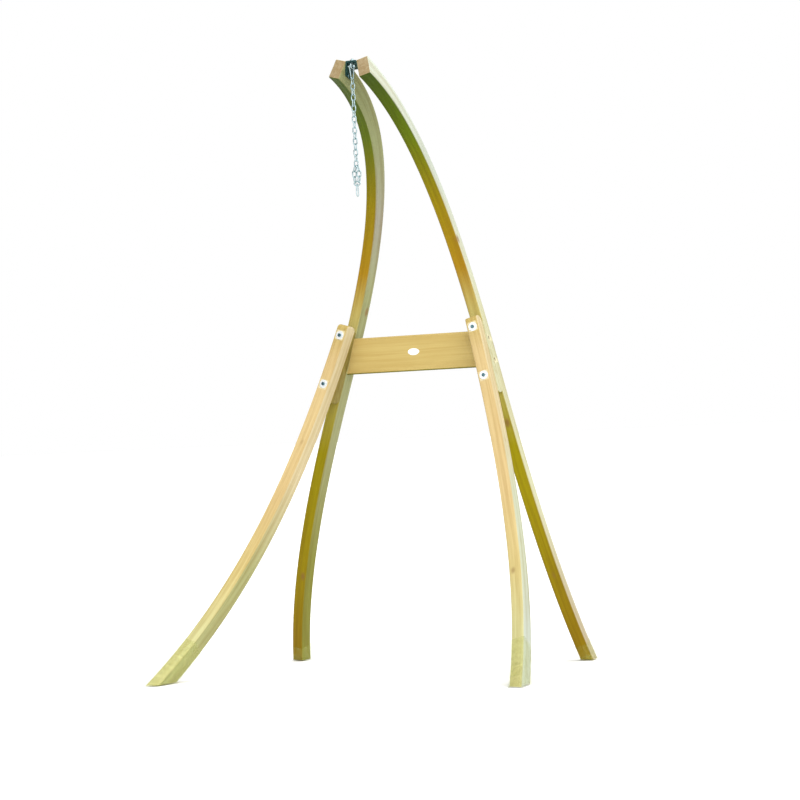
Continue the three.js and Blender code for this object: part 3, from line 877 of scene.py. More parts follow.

# The painted light and shade up a timber's front, outer, inner and rear faces, in that order, with
# shares of the stand's height: painted shade where the timber leans over, and painted light where
# it looks outwards.
MAST_PAINTED_LIGHT = (
    PaintedFaceLight(((0.04, UMBER), (0.17, BRONZE), (0.36, OLIVE), (0.56, STRAW), (0.66, AMBER),
           (0.77, BRONZE), (0.88, MOSS), (0.97, DEEP_MOSS))),
    PaintedFaceLight(((0.04, DRIFTWOOD), (0.30, CHALK), (0.58, CHALK), (0.72, FROST), (0.85, SILVER),
           (0.97, FROST))),
    PaintedFaceLight(((0.17, LICHEN), (0.36, FERN), (0.62, SAGE), (0.75, SLATE), (0.87, SAGE))),
    PaintedFaceLight(((0.0, CREAM), (1.0, CREAM))),
)
LEG_PAINTED_LIGHT = (
    PaintedFaceLight(((0.08, PALE_STRAW), (0.17, HONEY), (0.29, LARCH), (0.52, LARCH), (0.57, OCHRE))),
    PaintedFaceLight(((0.08, SILVER), (0.17, ASH), (0.29, ASH), (0.40, SAND))),
    PaintedFaceLight(((0.08, REED), (0.17, REED), (0.32, SAND))),
    PaintedFaceLight(((0.0, CREAM), (1.0, CREAM))),
)


class CentreLine:
    """A smooth centre line through anchors, measured by its length from the foot."""

    def __init__(self, anchors: Sequence[Anchor], below: float = 0.12) -> None:
        """Samples the line.

        Args:
            anchors: its anchors.
            below: the length of a straight run into the ground, in metres.
        """
        points = [anchors[0].toward(-below)]
        for a, b in zip(anchors, anchors[1:]):
            corners = (a.place(), a.toward(a.after), b.toward(-b.before), b.place())
            for t in np.linspace(0, 1, 241)[0 if len(points) == 1 else 1:]:
                u = 1 - t
                weights = (u ** 3, 3 * u * u * t, 3 * u * t * t, t ** 3)
                points.append(sum(w * c for w, c in zip(weights, corners)))
        self.points = np.array(points)
        steps = np.linalg.norm(np.diff(self.points, axis=0), axis=1)
        self.reach = np.concatenate([[0], np.cumsum(steps)]) - below
        self.length = float(self.reach[-1])

    def at(self, distance: float) -> tuple[np.ndarray, np.ndarray]:
        """Finds a point of the line.

        Args:
            distance: the length from the foot.

        Returns:
            The point and the unit heading there.
        """
        def sample(d: float) -> np.ndarray:
            """The point at a length from the foot."""
            return np.array([np.interp(d, self.reach, self.points[:, k]) for k in (0, 1)])

        step = 0.006
        low, high = max(distance - step, self.reach[0]), min(distance + step, self.length)
        way = sample(high) - sample(low)
        return sample(distance), way / np.linalg.norm(way)


class Hand(Enum):
    """The two side frames, as signs of the direction outwards."""

    LEFT = -1
    RIGHT = 1


class Level(Enum):
    """The two heights at which bolts pass through a side frame."""

    UPPER = "upper"
    LOWER = "lower"


# Where each timber's grain starts, so that no two match.
MAST_GRAIN = {Hand.LEFT: 5.11, Hand.RIGHT: 0.37}
LEG_GRAIN = {Hand.LEFT: 7.43, Hand.RIGHT: 2.21}


@dataclass
class SideFrame:
    """A mast, a front leg and the spacer between them, in one leaning plane."""

    hand: Hand
    palette: Palette
    lean: float = 15.5
    toe_out: float = 6.7
    width: float = 0.048
    mast_depth: float = 0.057
    tip_depth: float = 0.077
    flare_length: float = 0.780
    leg_foot_depth: float = 0.068
    leg_top_depth: float = 0.060
    corner: float = 0.0035
    crown: float = 0.016
    tip_easing: float = 0.0022
    tip_rings: tuple = ((0.0008, -0.0006), (0.0026, 0.0))
    station_step: float = 0.014
    foot_height: float = 0.0043
    front_foot: float = -0.430
    seat_radius: float = 0.018
    seat_run: float = 0.05
    counterbore_radius: float = 0.009
    counterbore_below: float = 0.0056
    counterbore_above: float = 0.03
    timber_easing: float = 0.001
    cap_easing: float = 0.0012
    end_tint: tuple = (0.43, 0.36, 0.29)
    # Painted shade on the spacer's inner side, beside the leg.
    inner_shade: tuple = (0.85, 0.66, 0.34)
    inner_limit: float = -0.3
    mast_anchors: tuple = (
        Anchor(0.502, 0.0, -21.5, 0, 0.415),
        Anchor(0.441, 1.228, 7.2, 0.399, 0.392),
        Anchor(0.010, 2.386, -69.0, 0.544, 0),
    )
    leg_anchors: tuple = (
        Anchor(-0.430, 0.0, 53.0, 0, 0.609),
        Anchor(0.386, 1.379, 13.2, 0.540, 0),
    )

    def __post_init__(self) -> None:
        """Works out the frame's axes and origin."""
        toe, lean, sign = math.radians(self.toe_out), math.radians(self.lean), self.hand.value
        self.side = self.hand.name.lower()
        self.rearward = Vector((-sign * math.sin(toe), math.cos(toe), 0))
        self.outward = Vector((sign * math.cos(toe), math.sin(toe), 0))
        self.upward = UP * math.cos(lean) - self.outward * math.sin(lean)
        self.normal = self.rearward.cross(self.upward) * sign
        mounts = {m["name"]: m for m in frame["record"]["mounts"]}
        foot = Vector(mounts[f"front_foot_{self.side}"]["pos_m"])
        self.origin = foot - self.rearward * self.front_foot

    def world(self, point: np.ndarray, across: float = 0.0) -> Vector:
        """Places a point of the frame's plane in the world.

        Args:
            point: the rearward and upward parts.
            across: how far it is moved outwards.

        Returns:
            The place.
        """
        return (self.origin + self.rearward * float(point[0]) + self.upward * float(point[1])
                + self.normal * across)

    def section(self, depth: float, squeeze: float = 1.0, inset: float = 0.0) -> list:
        """Points round a rounded rectangle, with their places and outward directions.

        Args:
            depth: the size from front to rear.
            squeeze: a factor on the depth.
            inset: how far the outline is drawn in.

        Returns:
            Tuples of rearward place, outward place and the two parts of the direction.
        """
        made = []
        half_d, half_w, r = depth / 2 - inset, self.width / 2 - inset, self.corner
        for k, (sd, sw) in enumerate(((1, 1), (-1, 1), (-1, -1), (1, -1))):
            for i in range(5):
                a = math.radians(90 * k + 22.5 * i)
                d, w = math.cos(a), math.sin(a)
                made.append(((sd * (half_d - r) + r * d) * squeeze,
                             sw * (half_w - r) + r * w, d, w))
        return made

    def stain(self, height: float, d: float, w: float, leg: bool) -> tuple:
        """Finds the painted light and shade on a face, by the way it looks and its height.

        Args:
            height: the height up the stand, 0 to 1.
            d: how far the face looks to the rear, -1 to 1.
            w: how far the face looks outwards, -1 to 1.
            leg: True on a front leg.

        Returns:
            A colour.
        """
        parts = (max(0.0, -d) ** 2, max(0.0, w) ** 2, max(0.0, -w) ** 2, max(0.0, d) ** 2)
        face_lights = LEG_PAINTED_LIGHT if leg else MAST_PAINTED_LIGHT
        total = Vector((0, 0, 0))
        for stain, part in zip(face_lights, parts):
            total += stain.at(height) * part
        return (*(total / sum(parts)), 1.0)

    def stations(self, line: CentreLine, leg: bool) -> list[tuple[float, float, float, float]]:
        """Plans the rings of a bent timber.

        Args:
            line: its centre line.
            leg: True gives a rounded upper end, False an eased flat one.

        Returns:
            For each ring its length from the foot, the factor on its depth, how far its outline
            is drawn in, and how far it lies beyond its length.
        """
        steps = list(np.arange(line.reach[0], line.length, self.station_step)) + [line.length]
        plan = [(s, 1.0, 0.0, 0.0) for s in steps]
        if leg:
            for angle in range(12, 84, 12):
                a = math.radians(angle)
                plan.append((line.length, math.cos(a), 0.0, self.crown * math.sin(a)))
            plan.append((line.length, 0.06, 0.0, self.crown * 0.998))
        else:
            plan[-1] = (line.length - self.tip_easing, 1.0, 0.0, 0.0)
            plan += [(line.length, 1.0, inset, beyond) for inset, beyond in self.tip_rings]
        return plan

    def sweep(self, name: str, line: CentreLine, depth: Callable[[float], float], leg: bool,
              seed: float) -> bpy.types.Object:
        """Makes a bent timber along a centre line, cut level at the foot.

        Args:
            name: the piece's name.
            line: its centre line.
            depth: the depth at a share of the length.
            leg: True gives a rounded upper end.
            seed: moves the grain, so that no two timbers match.

        Returns:
            The new object.
        """
        bm = bmesh.new()
        grain = bm.verts.layers.float_vector.new("grain")
        # Per-vertex painted light and shade, by face direction and height; the tip's end face gets
        # its own tint.
        stain = bm.verts.layers.float_color.new("stain")
        rings, notes = [], []
        for s, squeeze, inset, beyond in self.stations(line, leg):
            point, way = line.at(s)
            rear = np.array([way[1], -way[0]])
            size = depth(min(1.0, max(0.0, s / line.length)))
            ring, note = [], []
            for d, w, dd, ww in self.section(size, squeeze, inset):
                place = self.world(point + rear * d + way * beyond, w)
                ring.append(place)
                note.append(((s + beyond + seed, d + seed, w),
                             self.stain(place.z / TOP, dd, ww, leg)))
            rings.append(ring)
            notes.append(note)
        if not leg:
            notes[-1] = [(where, (*self.end_tint, 1.0)) for where, _ in notes[-1]]
        made = skin(bm, rings)
        for ring, note in zip(made, notes):
            for vert, (where, tint) in zip(ring, note):
                vert[grain] = where
                vert[stain] = tint
        cut = bmesh.ops.bisect_plane(bm, geom=bm.verts[:] + bm.edges[:] + bm.faces[:],
                                     plane_co=(0, 0, self.foot_height), plane_no=(0, 0, 1),
                                     clear_inner=True)
        rim = [e for e in cut["geom_cut"] if isinstance(e, bmesh.types.BMEdge)]
        bmesh.ops.contextual_create(bm, geom=rim)
        return new_object(name, bm)

    def drill(self, obj: bpy.types.Object, tools: Sequence[tuple[Vector, Vector, float]]) -> None:
        """Sinks round holes into a timber.

        Args:
            obj: the timber.
            tools: the two ends of each hole's axis and its radius.
        """
        for start, end, radius in tools:
            way = end - start
            cutter = turned("cutter", ((radius, 0), (radius, way.length)), start, way.normalized())
            boolean = obj.modifiers.new("hole", "BOOLEAN")
            boolean.object = cutter
            boolean.solver = "EXACT"
            applied(obj)
            bpy.data.objects.remove(cutter)

    def key(self, level: Level) -> str:
        """The end of the names of the fixings at one level."""
        return f"{level.value}_{self.side}"

    def clamp_axis(self, level: Level) -> tuple[Vector, Vector, Vector]:
        """Finds where a clamping bolt lies.

        Args:
            level: the bolt's level.

        Returns:
            Its direction, from front to rear, and the middles of its front and rear seats.
        """
        front = CadNode(f"clamp_washer_{self.key(level)}")
        rear = CadNode(f"clamp_nut_{self.key(level)}")
        axis = (rear.centre() - front.centre()).normalized()
        return (axis, front.at_reach(axis, front.span(axis)[1] + GAP),
                front.at_reach(axis, rear.span(axis)[0] - GAP))

    def build_mast(self) -> None:
        """Makes the mast with its seats and counterbores."""
        line = CentreLine(self.mast_anchors)

        def depth(share: float) -> float:
            """The depth at a share of the length, which grows towards the tip."""
            passed = 1 - (1 - share) * line.length / self.flare_length
            return self.mast_depth + (self.tip_depth - self.mast_depth) * max(0.0, passed)

        obj = self.sweep(f"bent_mast_{self.side}", line, depth, False, MAST_GRAIN[self.hand])
        tools = []
        for level in Level:
            axis, _, rear = self.clamp_axis(level)
            tools.append((rear, rear + axis * self.seat_run, self.seat_radius))
            top = CadNode(f"plank_bolt_{self.key(level)}").tip(self.outward)
            tools.append((top - self.outward * self.counterbore_below,
                          top + self.outward * self.counterbore_above, self.counterbore_radius))
        self.drill(obj, tools)
        finish_piece(obj, self.palette.timber, "stand", [f"mast_{self.side}"])

    def build_leg(self) -> None:
        """Makes the front leg with its seats."""
        line = CentreLine(self.leg_anchors)

        def depth(share: float) -> float:
            """The depth at a share of the length, which shrinks towards the top."""
            return self.leg_foot_depth + (self.leg_top_depth - self.leg_foot_depth) * share

        obj = self.sweep(f"bent_leg_{self.side}", line, depth, True, LEG_GRAIN[self.hand])
        tools = []
        for level in Level:
            axis, front, _ = self.clamp_axis(level)
            tools.append((front, front - axis * self.seat_run, self.seat_radius))
        self.drill(obj, tools)
        finish_piece(obj, self.palette.timber, "stand", [f"front_leg_{self.side}"])

    def spacer_painted_shade(self, face: bpy.types.MeshPolygon) -> tuple:
        """Finds the painted light and shade on one face of the spacer, with extra painted shade on
        its inner side, beside the leg.

        Args:
            face: the face.

        Returns:
            The tint.
        """
        d, w = face.normal.dot(self.rearward), face.normal.dot(self.normal)
        tint = Vector(self.stain(face.center.z / TOP, d, w, False)[:3])
        # Extra painted shade on the inner side.
        if w < self.inner_limit:
            tint = Vector([a * b for a, b in zip(tint, self.inner_shade)])
        return (*tint, 1.0)

    def build_small_parts(self) -> None:
        """Makes the spacer and the two foot caps."""
        spacer = softened(f"wedge_spacer_{self.side}", f"spacer_{self.side}",
                          self.timber_easing)
        tint_and_shade_faces(spacer, self.spacer_painted_shade)
        finish_piece(spacer, self.palette.spacer, "stand", [f"spacer_{self.side}"])
        for end in ("front", "rear"):
            node = f"{end}_foot_cap_{self.side}"
            cap = softened(f"{end}_sleeve_{self.side}", node, self.cap_easing)
            finish_piece(cap, self.palette.plastic, "stand", [node])


# ------------------------------------------------------------------------------------------------
# Plank and fixings
# ------------------------------------------------------------------------------------------------

@dataclass
class Plank:
    """The cross plank and its blank oval badge."""

    palette: Palette
    # under: olive painted shade on the faces that look down; shade: the plain tint of the other
    # faces.
    under: tuple = (0.26, 0.31, 0.06)
    shade: tuple = (0.85, 0.84, 0.74)
    under_from: float = 0.12
    under_over: float = 0.35
    easing: float = 0.0015
    badge_profile: tuple = ((1.0, 0.0), (1.0, 0.55), (0.985, 0.85), (0.955, 1.0), (0.925, 0.8),
                            (0.90, 0.62), (0.6, 0.72), (0.3, 0.78), (0.02, 0.8))

    def tint(self, face: bpy.types.MeshPolygon) -> tuple:
        """Finds the tint of one face, with olive painted shade where it looks down.

        Args:
            face: the face.

        Returns:
            The tint.
        """
        share = min(1.0, max(0.0, (-face.normal.z - self.under_from) / self.under_over))
        return (*Vector(self.shade).lerp(Vector(self.under), share), 1.0)

    def build(self) -> None:
        """Makes the plank and the badge."""
        plank = softened("cross_board", "cross_plank", self.easing)
        tint_and_shade_faces(plank, self.tint)
        finish_piece(plank, self.palette.plank, "stand", ["cross_plank"])
        low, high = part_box("plank_badge")
        centre = (low + high) / 2
        half_x, half_z, thick = (high.x - low.x) / 2, (high.z - low.z) / 2, high.y - low.y
        bm = bmesh.new()
        rings = []
        for share, lift in self.badge_profile:
            rings.append([Vector((centre.x + half_x * share * math.cos(a), high.y - thick * lift,
                                  centre.z + half_z * share * math.sin(a)))
                          for a in np.linspace(0, 2 * math.pi, 64, endpoint=False)])
        skin(bm, rings)
        finish_piece(new_object("oval_badge", bm), self.palette.enamel, "stand",
                     ["plank_badge"])


@dataclass
class Fixings:
    """Bolts, washers, nuts and screws, each turned or forged round its own axis."""

    palette: Palette
    head_across: float = 0.013
    bolt_radius: float = 0.004
    washer_radius: float = 0.017
    washer_thickness: float = 0.002
    washer_easing: float = 0.0004
    plank_head: float = 0.0053
    lag_head: float = 0.0045
    lag_across: float = 0.012
    lag_radius: float = 0.0035
    tuck: float = 0.001

    @staticmethod
    def flat_radius(angle: float, across: float) -> float:
        """The distance from the middle of a hexagon to its edge, at an angle."""
        return across / 2 / math.cos((angle + math.pi / 6) % (math.pi / 3) - math.pi / 6)

    def hexagon(self, bm: bmesh.types.BMesh, place: Vector, axis: Vector, height: float,
                across: float) -> None:
        """Adds a six-sided head with a chamfered top.

        Args:
            bm: the mesh to add to.
            place: the middle of its base.
            axis: from the base to the top.
            height: its height.
            across: its size across flats.
        """
        turn = UP.rotation_difference(axis)
        corner, flat = across / math.sqrt(3), across / 2
        rings = []
        for top, level in ((False, 0.0), (False, 0.82), (True, 1.0)):
            ring = []
            for a in np.radians(np.arange(0, 360, 10)):
                edge = self.flat_radius(a, across)
                r = min(min(edge, flat * 1.02) * 0.95 if top else edge, corner * 0.985)
                ring.append(place + turn @ Vector((r * math.cos(a), r * math.sin(a),
                                                   height * level)))
            rings.append(ring)
        skin(bm, rings)

    def disc(self, bm: bmesh.types.BMesh, place: Vector, axis: Vector, thickness: float,
             radius: float, hole: float) -> None:
        """Adds a washer with eased edges.

        Args:
            bm: the mesh to add to.
            place: the middle of its underside.
            axis: from the underside to the top.
            thickness: its thickness.
            radius: its outer radius.
            hole: the radius of its hole.
        """
        turn, ease = UP.rotation_difference(axis), self.washer_easing
        profile = ((hole, 0), (radius - ease, 0), (radius, ease), (radius, thickness - ease),
                   (radius - ease, thickness), (hole + ease, thickness), (hole, thickness - ease))
        skin(bm, [circle(place, turn, r, h, 44) for r, h in profile], closed=True)

    def shank(self, bm: bmesh.types.BMesh, start: Vector, end: Vector, radius: float) -> None:
        """Adds a round shank with a chamfered end.

        Args:
            bm: the mesh to add to.
            start: the middle of its upper end.
            end: the middle of its chamfered end.
            radius: its radius.
        """
        turn = UP.rotation_difference((end - start).normalized())
        length = (end - start).length
        profile = ((radius, 0), (radius, length - self.tuck), (radius * 0.75, length))
        skin(bm, [circle(start, turn, r, h, 20) for r, h in profile])

    def dress(self, name: str, bm: bmesh.types.BMesh, node: str,
              finish: bpy.types.Material | None = None) -> None:
        """Finishes one fixing.

        Args:
            name: the piece's name.
            bm: its mesh.
            node: the node that it stands for.
            finish: its finish, or bright zinc where none is given.
        """
        finish_piece(new_object(name, bm), finish or self.palette.zinc, body_of(node),
                     [node], 30)

    def build_clamp(self, side: SideFrame, level: Level) -> None:
        """Makes a clamping bolt with its washers and nut.

        Args:
            side: the side frame that it clamps.
            level: its level.
        """
        axis, front, _ = side.clamp_axis(level)
        key = side.key(level)
        bm = bmesh.new()
        self.disc(bm, front - axis * GAP, -axis, self.washer_thickness, self.washer_radius,
                  self.bolt_radius + GAP)
        self.dress(f"front_washer_{key}", bm, f"clamp_washer_{key}", self.palette.washer)
        bolt = CadNode(f"clamp_bolt_{key}")
        low, high = bolt.span(axis)
        base = front - axis * (self.washer_thickness + 2 * GAP)
        height = base.dot(axis) - low
        bm = bmesh.new()
        self.hexagon(bm, base, -axis, height, self.head_across)
        self.shank(bm, base - axis * self.tuck, front + axis * (high - front.dot(axis)),
                   self.bolt_radius)
        self.dress(f"clamp_shank_{key}", bm, f"clamp_bolt_{key}", self.palette.bolt)
        nut = CadNode(f"clamp_nut_{key}")
        low, high = nut.span(axis)
        base = front + axis * (low - front.dot(axis))
        bm = bmesh.new()
        self.disc(bm, base, axis, self.washer_thickness, self.washer_radius, self.bolt_radius + GAP)
        self.nut_ring(bm, base + axis * self.washer_thickness, axis,
                      high - low - self.washer_thickness, self.head_across, self.bolt_radius + GAP)
        self.dress(f"rear_nut_{key}", bm, f"clamp_nut_{key}")

    def nut_ring(self, bm: bmesh.types.BMesh, place: Vector, axis: Vector, height: float,
                 across: float, hole: float) -> None:
        """Adds a hexagon nut with a hole and chamfered corners.

        Args:
            bm: the mesh to add to.
            place: the middle of its base.
            axis: from the base to the top.
            height: its height.
            across: its size across flats.
            hole: the radius of its hole.
        """
        turn = UP.rotation_difference(axis)
        flat = across / 2
        rings = []
        for kind, level in (("hole", 0), ("edge", 0), ("edge", 0.84), ("top", 1), ("hole", 1)):
            ring = []
            for a in np.radians(np.arange(0, 360, 10)):
                edge = self.flat_radius(a, across)
                r = {"hole": hole, "edge": edge, "top": min(edge, flat * 1.02) * 0.97}[kind]
                ring.append(place + turn @ Vector((r * math.cos(a), r * math.sin(a),
                                                   height * level)))
            rings.append(ring)
        skin(bm, rings, closed=True)

    def build_headed(self, node: str, name: str, out: Vector, head: float, across: float,
                     radius: float) -> None:
        """Makes a plain bolt or screw.

        Args:
            node: the node that it stands for.
            name: the piece's name.
            out: the direction from the shank to the head.
            head: the height of the head.
            across: the head's size across flats.
            radius: the shank's radius.
        """
        cad = CadNode(node)
        low, high = cad.span(out)
        base = cad.at_reach(out, high - head)
        bm = bmesh.new()
        self.hexagon(bm, base, out, head, across)
        self.shank(bm, base + out * self.tuck, cad.at_reach(out, low), radius)
        self.dress(name, bm, node, self.palette.bolt)

    def build(self, sides: Sequence[SideFrame]) -> None:
        """Makes every fixing of both side frames.

        Args:
            sides: the side frames.
        """
        for side in sides:
            for level in Level:
                self.build_clamp(side, level)
                key = side.key(level)
                self.build_headed(f"plank_bolt_{key}", f"plank_screw_{key}", side.outward,
                                  self.plank_head, self.head_across, self.bolt_radius)
            self.build_headed(f"bracket_screw_{side.side}", f"lag_screw_{side.side}",
                              -side.normal, self.lag_head, self.lag_across, self.lag_radius)


# ------------------------------------------------------------------------------------------------
# Hanging hardware
# ------------------------------------------------------------------------------------------------

@dataclass
class CrownHardware:
    """The folded bracket, the eye bolt with its nut, and the shackle with its pin."""

    palette: Palette
    fixings: Fixings
    ring_radius: float = 0.008
    ring_wire: float = 0.003
    shank: float = 0.004
    pin_radius: float = 0.003
    bow_wire: float = 0.0025
    bow_length: float = 0.047
    bow_radius: float = 0.0055
    spread: float = 0.0095
    boss: float = 0.0055
    bracket_easing: float = 0.0009
    nut_across: float = 0.013
    nut_washer: float = 0.0115
    nut_washer_thickness: float = 0.002

    def build(self) -> None:
        """Makes the hardware."""
        bracket = softened("folded_bracket", "crown_bracket", self.bracket_easing)
        finish_piece(bracket, self.palette.steel, "stand", ["crown_bracket"])
        self.build_eye()
        self.build_shackle()

    def build_eye(self) -> None:
        """Makes the eye bolt and the nut on the bracket."""
        nut = CadNode("eye_nut")
        bolt = CadNode("eye_bolt")
        up = self.bracket_up()
        low, high = nut.span(up)
        base = nut.at_reach(up, low)
        reach_low, reach_high = bolt.span(up)
        eye = base + up * (reach_low + self.ring_radius + self.ring_wire - base.dot(up))
        bm = bmesh.new()
        along = Vector((0, -up.z, up.y))
        loop = arc(eye, self.ring_radius, 0, 352.5, 47, along, up)
        skin(bm, rounded_bar(loop, self.ring_wire, True, 12), closed=True)
        self.fixings.shank(bm, eye + up * self.ring_radius,
                           base + up * (reach_high - base.dot(up)), self.shank)
        self.fixings.dress("eye_screw", bm, "eye_bolt")
        bm = bmesh.new()
        thick = self.nut_washer_thickness
        self.fixings.disc(bm, base, up, thick, self.nut_washer, self.shank + GAP)
        self.fixings.nut_ring(bm, base + up * thick, up, high - low - thick, self.nut_across,
                              self.shank + GAP)
        self.fixings.dress("crown_nut", bm, "eye_nut")

    def bracket_up(self) -> Vector:
        """Finds the direction square to the bracket's top, from its largest upward face.

        Returns:
            A unit vector.
        """
        mesh = frame["nodes"]["crown_bracket"].data
        best = max((p for p in mesh.polygons if p.normal.z > 0.5), key=lambda p: p.area)
        return Vector((0, best.normal.y, best.normal.z)).normalized()

    def build_shackle(self) -> None:
        """Makes the shackle and its pin."""
        pin = joint_place("shackle_swing")
        across, up = Vector((1, 0, 0)), UP
        bow = pin - up * (self.bow_length - self.bow_radius)
        ends = [pin + across * self.spread * s - up * self.pin_radius for s in (-1, 1)]
        points = [ends[0].lerp(bow - across * self.bow_radius, t) for t in np.linspace(0, 0.93, 8)]
        points += arc(bow, self.bow_radius, 180, 360, 16, across, up)
        points += [ends[1].lerp(bow + across * self.bow_radius, t) for t in np.linspace(0.93, 0, 8)]
        bm = bmesh.new()
        skin(bm, rounded_bar(points, self.bow_wire, False))
        for s in (-1, 1):
            place = pin + across * s * (self.spread - self.bow_wire)
            self.fixings.disc(bm, place, across * s, 2 * self.bow_wire, self.boss,
                              self.pin_radius + GAP)
        finish_piece(new_object("bow_shackle", bm), self.palette.zinc, "shackle",
                     ["shackle"], 50)
        low, high = CadNode("shackle_pin").span(across)
        outer = self.spread + self.bow_wire + GAP
        r = self.pin_radius
        profile = ((r * 0.5, low), (r + 0.0012, low + 0.0002), (r + 0.0015, low + 0.0007),
                   (r + 0.0015, -outer), (r, -outer), (r, outer), (r + 0.0025, outer),
                   (r + 0.0025, high - 0.0006), (r + 0.0018, high), (r * 0.5, high))
        obj = turned("shackle_bolt", profile, Vector((0, pin.y, pin.z)), across)
        finish_piece(obj, self.palette.zinc, "shackle", ["shackle_pin"])


@dataclass
class Chain:
    """The links, each a round bar bent to a stadium, and the snap hook."""

    palette: Palette
    wire: float = 0.00225
    crown: float = 0.0075
    hook_wire: float = 0.00225
    hook_top: float = 0.0055
    hook_bow: float = 0.0085
    hook_length: float = 0.046
    nose_fall: float = 0.029
    gate_radius: float = 0.0019

    def link(self, node: str) -> None:
        """Makes one link round the middle of its node's solid.

        Args:
            node: the link's node.
        """
        cad = CadNode(node)
        centre = cad.points.mean(0)
        _, _, axes = np.linalg.svd(cad.points - centre, full_matrices=False)
        long, wide = Vector(axes[0]), Vector(axes[1])
        centre = Vector(centre)
        for axis in (wide, long):
            low, high = cad.span(axis)
            centre += axis * ((low + high) / 2 - centre.dot(axis))
        half = (high - low) / 2 - self.wire - self.crown
        loop = arc(centre + long * half, self.crown, 0, 180, 20, wide, long)
        loop += arc(centre - long * half, self.crown, 180, 360, 20, wide, long)
        bm = bmesh.new()
        skin(bm, rounded_bar(loop, self.wire, True, 12), closed=True)
        name = node.replace("link", "ring").replace("loop_", "loop_chain_")
        finish_piece(new_object(name, bm), self.palette.zinc, body_of(node), [node], 60)

    def build(self) -> None:
        """Makes every link, the hook and the gate."""
        for node in sorted(n for n in frame["nodes"] if n.startswith(("link_", "loop_link"))):
            self.link(node)
        self.build_hook()

    def build_hook(self) -> None:
        """Makes the snap hook and its gate, in the plane of their solids."""
        hang = joint_place("snap_hook_swing")
        pivot = joint_place("snap_gate_open")
        side, up = Vector((0, 1 if pivot.y > hang.y else -1, 0)), UP
        top_radius, bow_radius = self.hook_top, self.hook_bow
        rise = self.wire + self.hook_wire + GAP
        top = hang + up * (rise - top_radius)
        bow = hang + up * (rise + bow_radius - self.hook_length)
        slope = math.degrees(math.asin((bow_radius - top_radius) / (top.z - bow.z)))
        side_top = arc(top, top_radius, slope, slope, 1, side, up)[0]
        side_low = arc(bow, bow_radius, slope, slope, 1, side, up)[0]
        nose = side_top.lerp(side_low, self.nose_fall / (side_top.z - side_low.z))
        way = (nose - pivot).normalized()
        relief = self.gate_radius + GAP
        points = [nose + way * relief] + arc(bow, bow_radius, slope, -180 - slope, 30, side, up)
        other = arc(top, top_radius, 180 - slope, slope, 20, side, up)
        points += [points[-1].lerp(other[0], t) for t in (0.25, 0.5, 0.75)] + other
        points += [pivot - way * relief]
        bm = bmesh.new()
        skin(bm, rounded_bar(points, self.hook_wire, False))
        finish_piece(new_object("spring_hook", bm), self.palette.zinc, "snap_hook",
                     ["snap_hook"], 50)
        reach = (nose - pivot).length
        path = [pivot + way * reach * t for t in np.linspace(0, 1, 9)]
        bm = bmesh.new()
        skin(bm, domed_ends(rounded_bar(path, self.gate_radius, False), path, self.gate_radius))
        finish_piece(new_object("spring_gate", bm), self.palette.zinc, "snap_gate",
                     ["snap_hook_gate"], 50)


# ------------------------------------------------------------------------------------------------
# Studio
# ------------------------------------------------------------------------------------------------

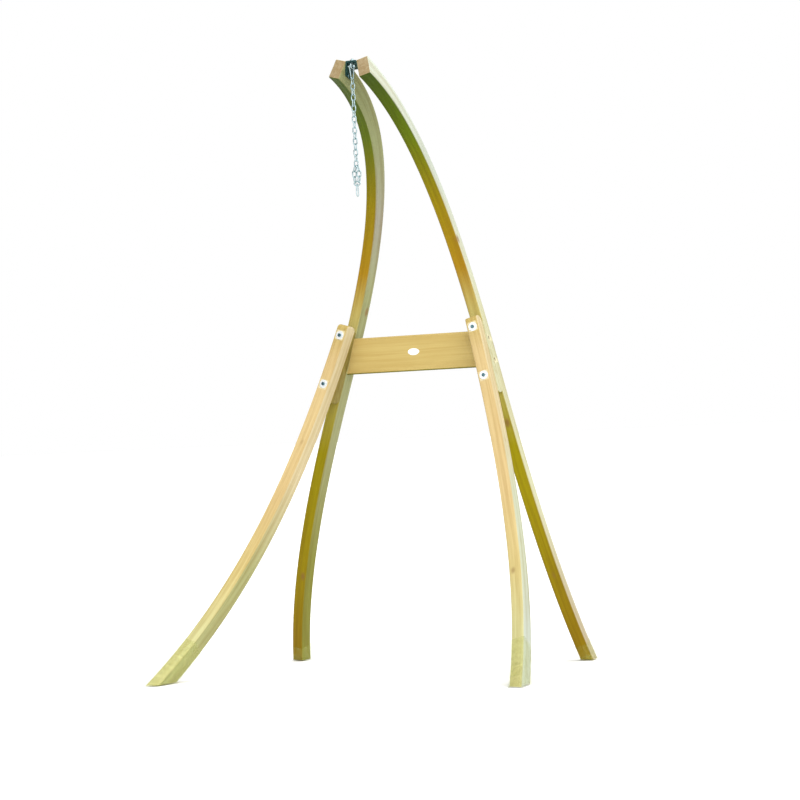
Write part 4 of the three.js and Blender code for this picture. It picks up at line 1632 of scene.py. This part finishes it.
@dataclass
class Studio:
    """The floor, the lights and the camera."""

    depth_shift: float
    eye: tuple = (4.3631, -8.6448, 0.9222)
    right: tuple = (0.89622, 0.44120, -0.04623)
    up: tuple = (0.04661, 0.00999, 0.99886)
    lens: float = 114.627
    floor_size: float = 400.0
    key_way: tuple = (0.62, -0.32, 0.72)
    dim: float = 0.30
    bright: float = 2.6

    def build_floor(self) -> None:
        """Makes a plain pale floor."""
        half = self.floor_size / 2
        bm = bmesh.new()
        corners = ((-half, -half), (half, -half), (half, half), (-half, half))
        bm.faces.new([bm.verts.new((x, y, 0.0)) for x, y in corners])
        floor = new_object("floor", bm)
        graph = Graph("pale_floor")
        place = graph.node("ShaderNodeTexCoord").outputs["Object"]
        cloud = graph.noise(place, 3, 4)
        graph.set(Base_Color=graph.mix(graph.ramp(cloud, 0.3, 0.7), rgb(250, 250, 249),
                                       rgb(247, 247, 246)), Roughness=0.9)
        floor.data.materials.append(graph.material)

    def build_dome(self, tree: bpy.types.NodeTree) -> None:
        """Lights the stand from a soft dome, brightest above and to the right.

        Args:
            tree: the world's nodes.
        """
        dome = tree.nodes["Background"]
        output = tree.nodes["World Output"]
        place = tree.nodes.new("ShaderNodeTexCoord")
        towards = tree.nodes.new("ShaderNodeVectorMath")
        towards.operation = "DOT_PRODUCT"
        towards.inputs[1].default_value = Vector(self.key_way).normalized()
        reach = tree.nodes.new("ShaderNodeMapRange")
        reach.interpolation_type = "SMOOTHSTEP"
        for name, value in (("From Min", -0.1), ("From Max", 1.0), ("To Min", self.dim),
                            ("To Max", self.bright)):
            reach.inputs[name].default_value = value
        backdrop = tree.nodes.new("ShaderNodeBackground")
        path = tree.nodes.new("ShaderNodeLightPath")
        choice = tree.nodes.new("ShaderNodeMixShader")
        for start, end in (
            (place.outputs["Generated"], towards.inputs[0]),
            (towards.outputs["Value"], reach.inputs["Value"]),
            (reach.outputs[0], dome.inputs["Strength"]),
            (path.outputs["Is Camera Ray"], choice.inputs[0]),
            (dome.outputs[0], choice.inputs[1]),
            (backdrop.outputs[0], choice.inputs[2]),
            (choice.outputs[0], output.inputs["Surface"]),
        ):
            tree.links.new(start, end)
        dome.inputs["Color"].default_value = (1, 1, 1, 1)
        backdrop.inputs["Color"].default_value = (1, 1, 1, 1)

    def build(self) -> None:
        """Makes the floor, the surroundings and the camera."""
        self.build_floor()
        scene = bpy.context.scene
        world = bpy.data.worlds.new("surroundings")
        world.use_nodes = True
        scene.world = world
        self.build_dome(world.node_tree)
        scene.view_settings.view_transform = "Standard"
        data = bpy.data.cameras.new("camera")
        data.lens, data.sensor_width = self.lens, 36.0
        camera = bpy.data.objects.new("camera", data)
        side, top = Vector(self.right), Vector(self.up)
        back = side.cross(top).normalized()
        turn = Matrix((side, top, back)).transposed().to_4x4()
        place = Vector(self.eye) + Vector((0, self.depth_shift, 0))
        camera.matrix_world = Matrix.Translation(place) @ turn
        scene.collection.objects.link(camera)
        scene.camera = camera


def main() -> None:
    """Builds the stand's pieces in order, then the studio."""
    logging.basicConfig(level=logging.INFO, format="%(name)s: %(message)s")
    palette = Palette()
    sides = [SideFrame(hand, palette) for hand in Hand]
    for side in sides:
        side.build_mast()
        side.build_leg()
        side.build_small_parts()
    Plank(palette).build()
    fixings = Fixings(palette)
    fixings.build(sides)
    CrownHardware(palette, fixings).build()
    Chain(palette).build()
    Studio(sides[0].origin.y).build()


if __name__ == "__main__":
    main()
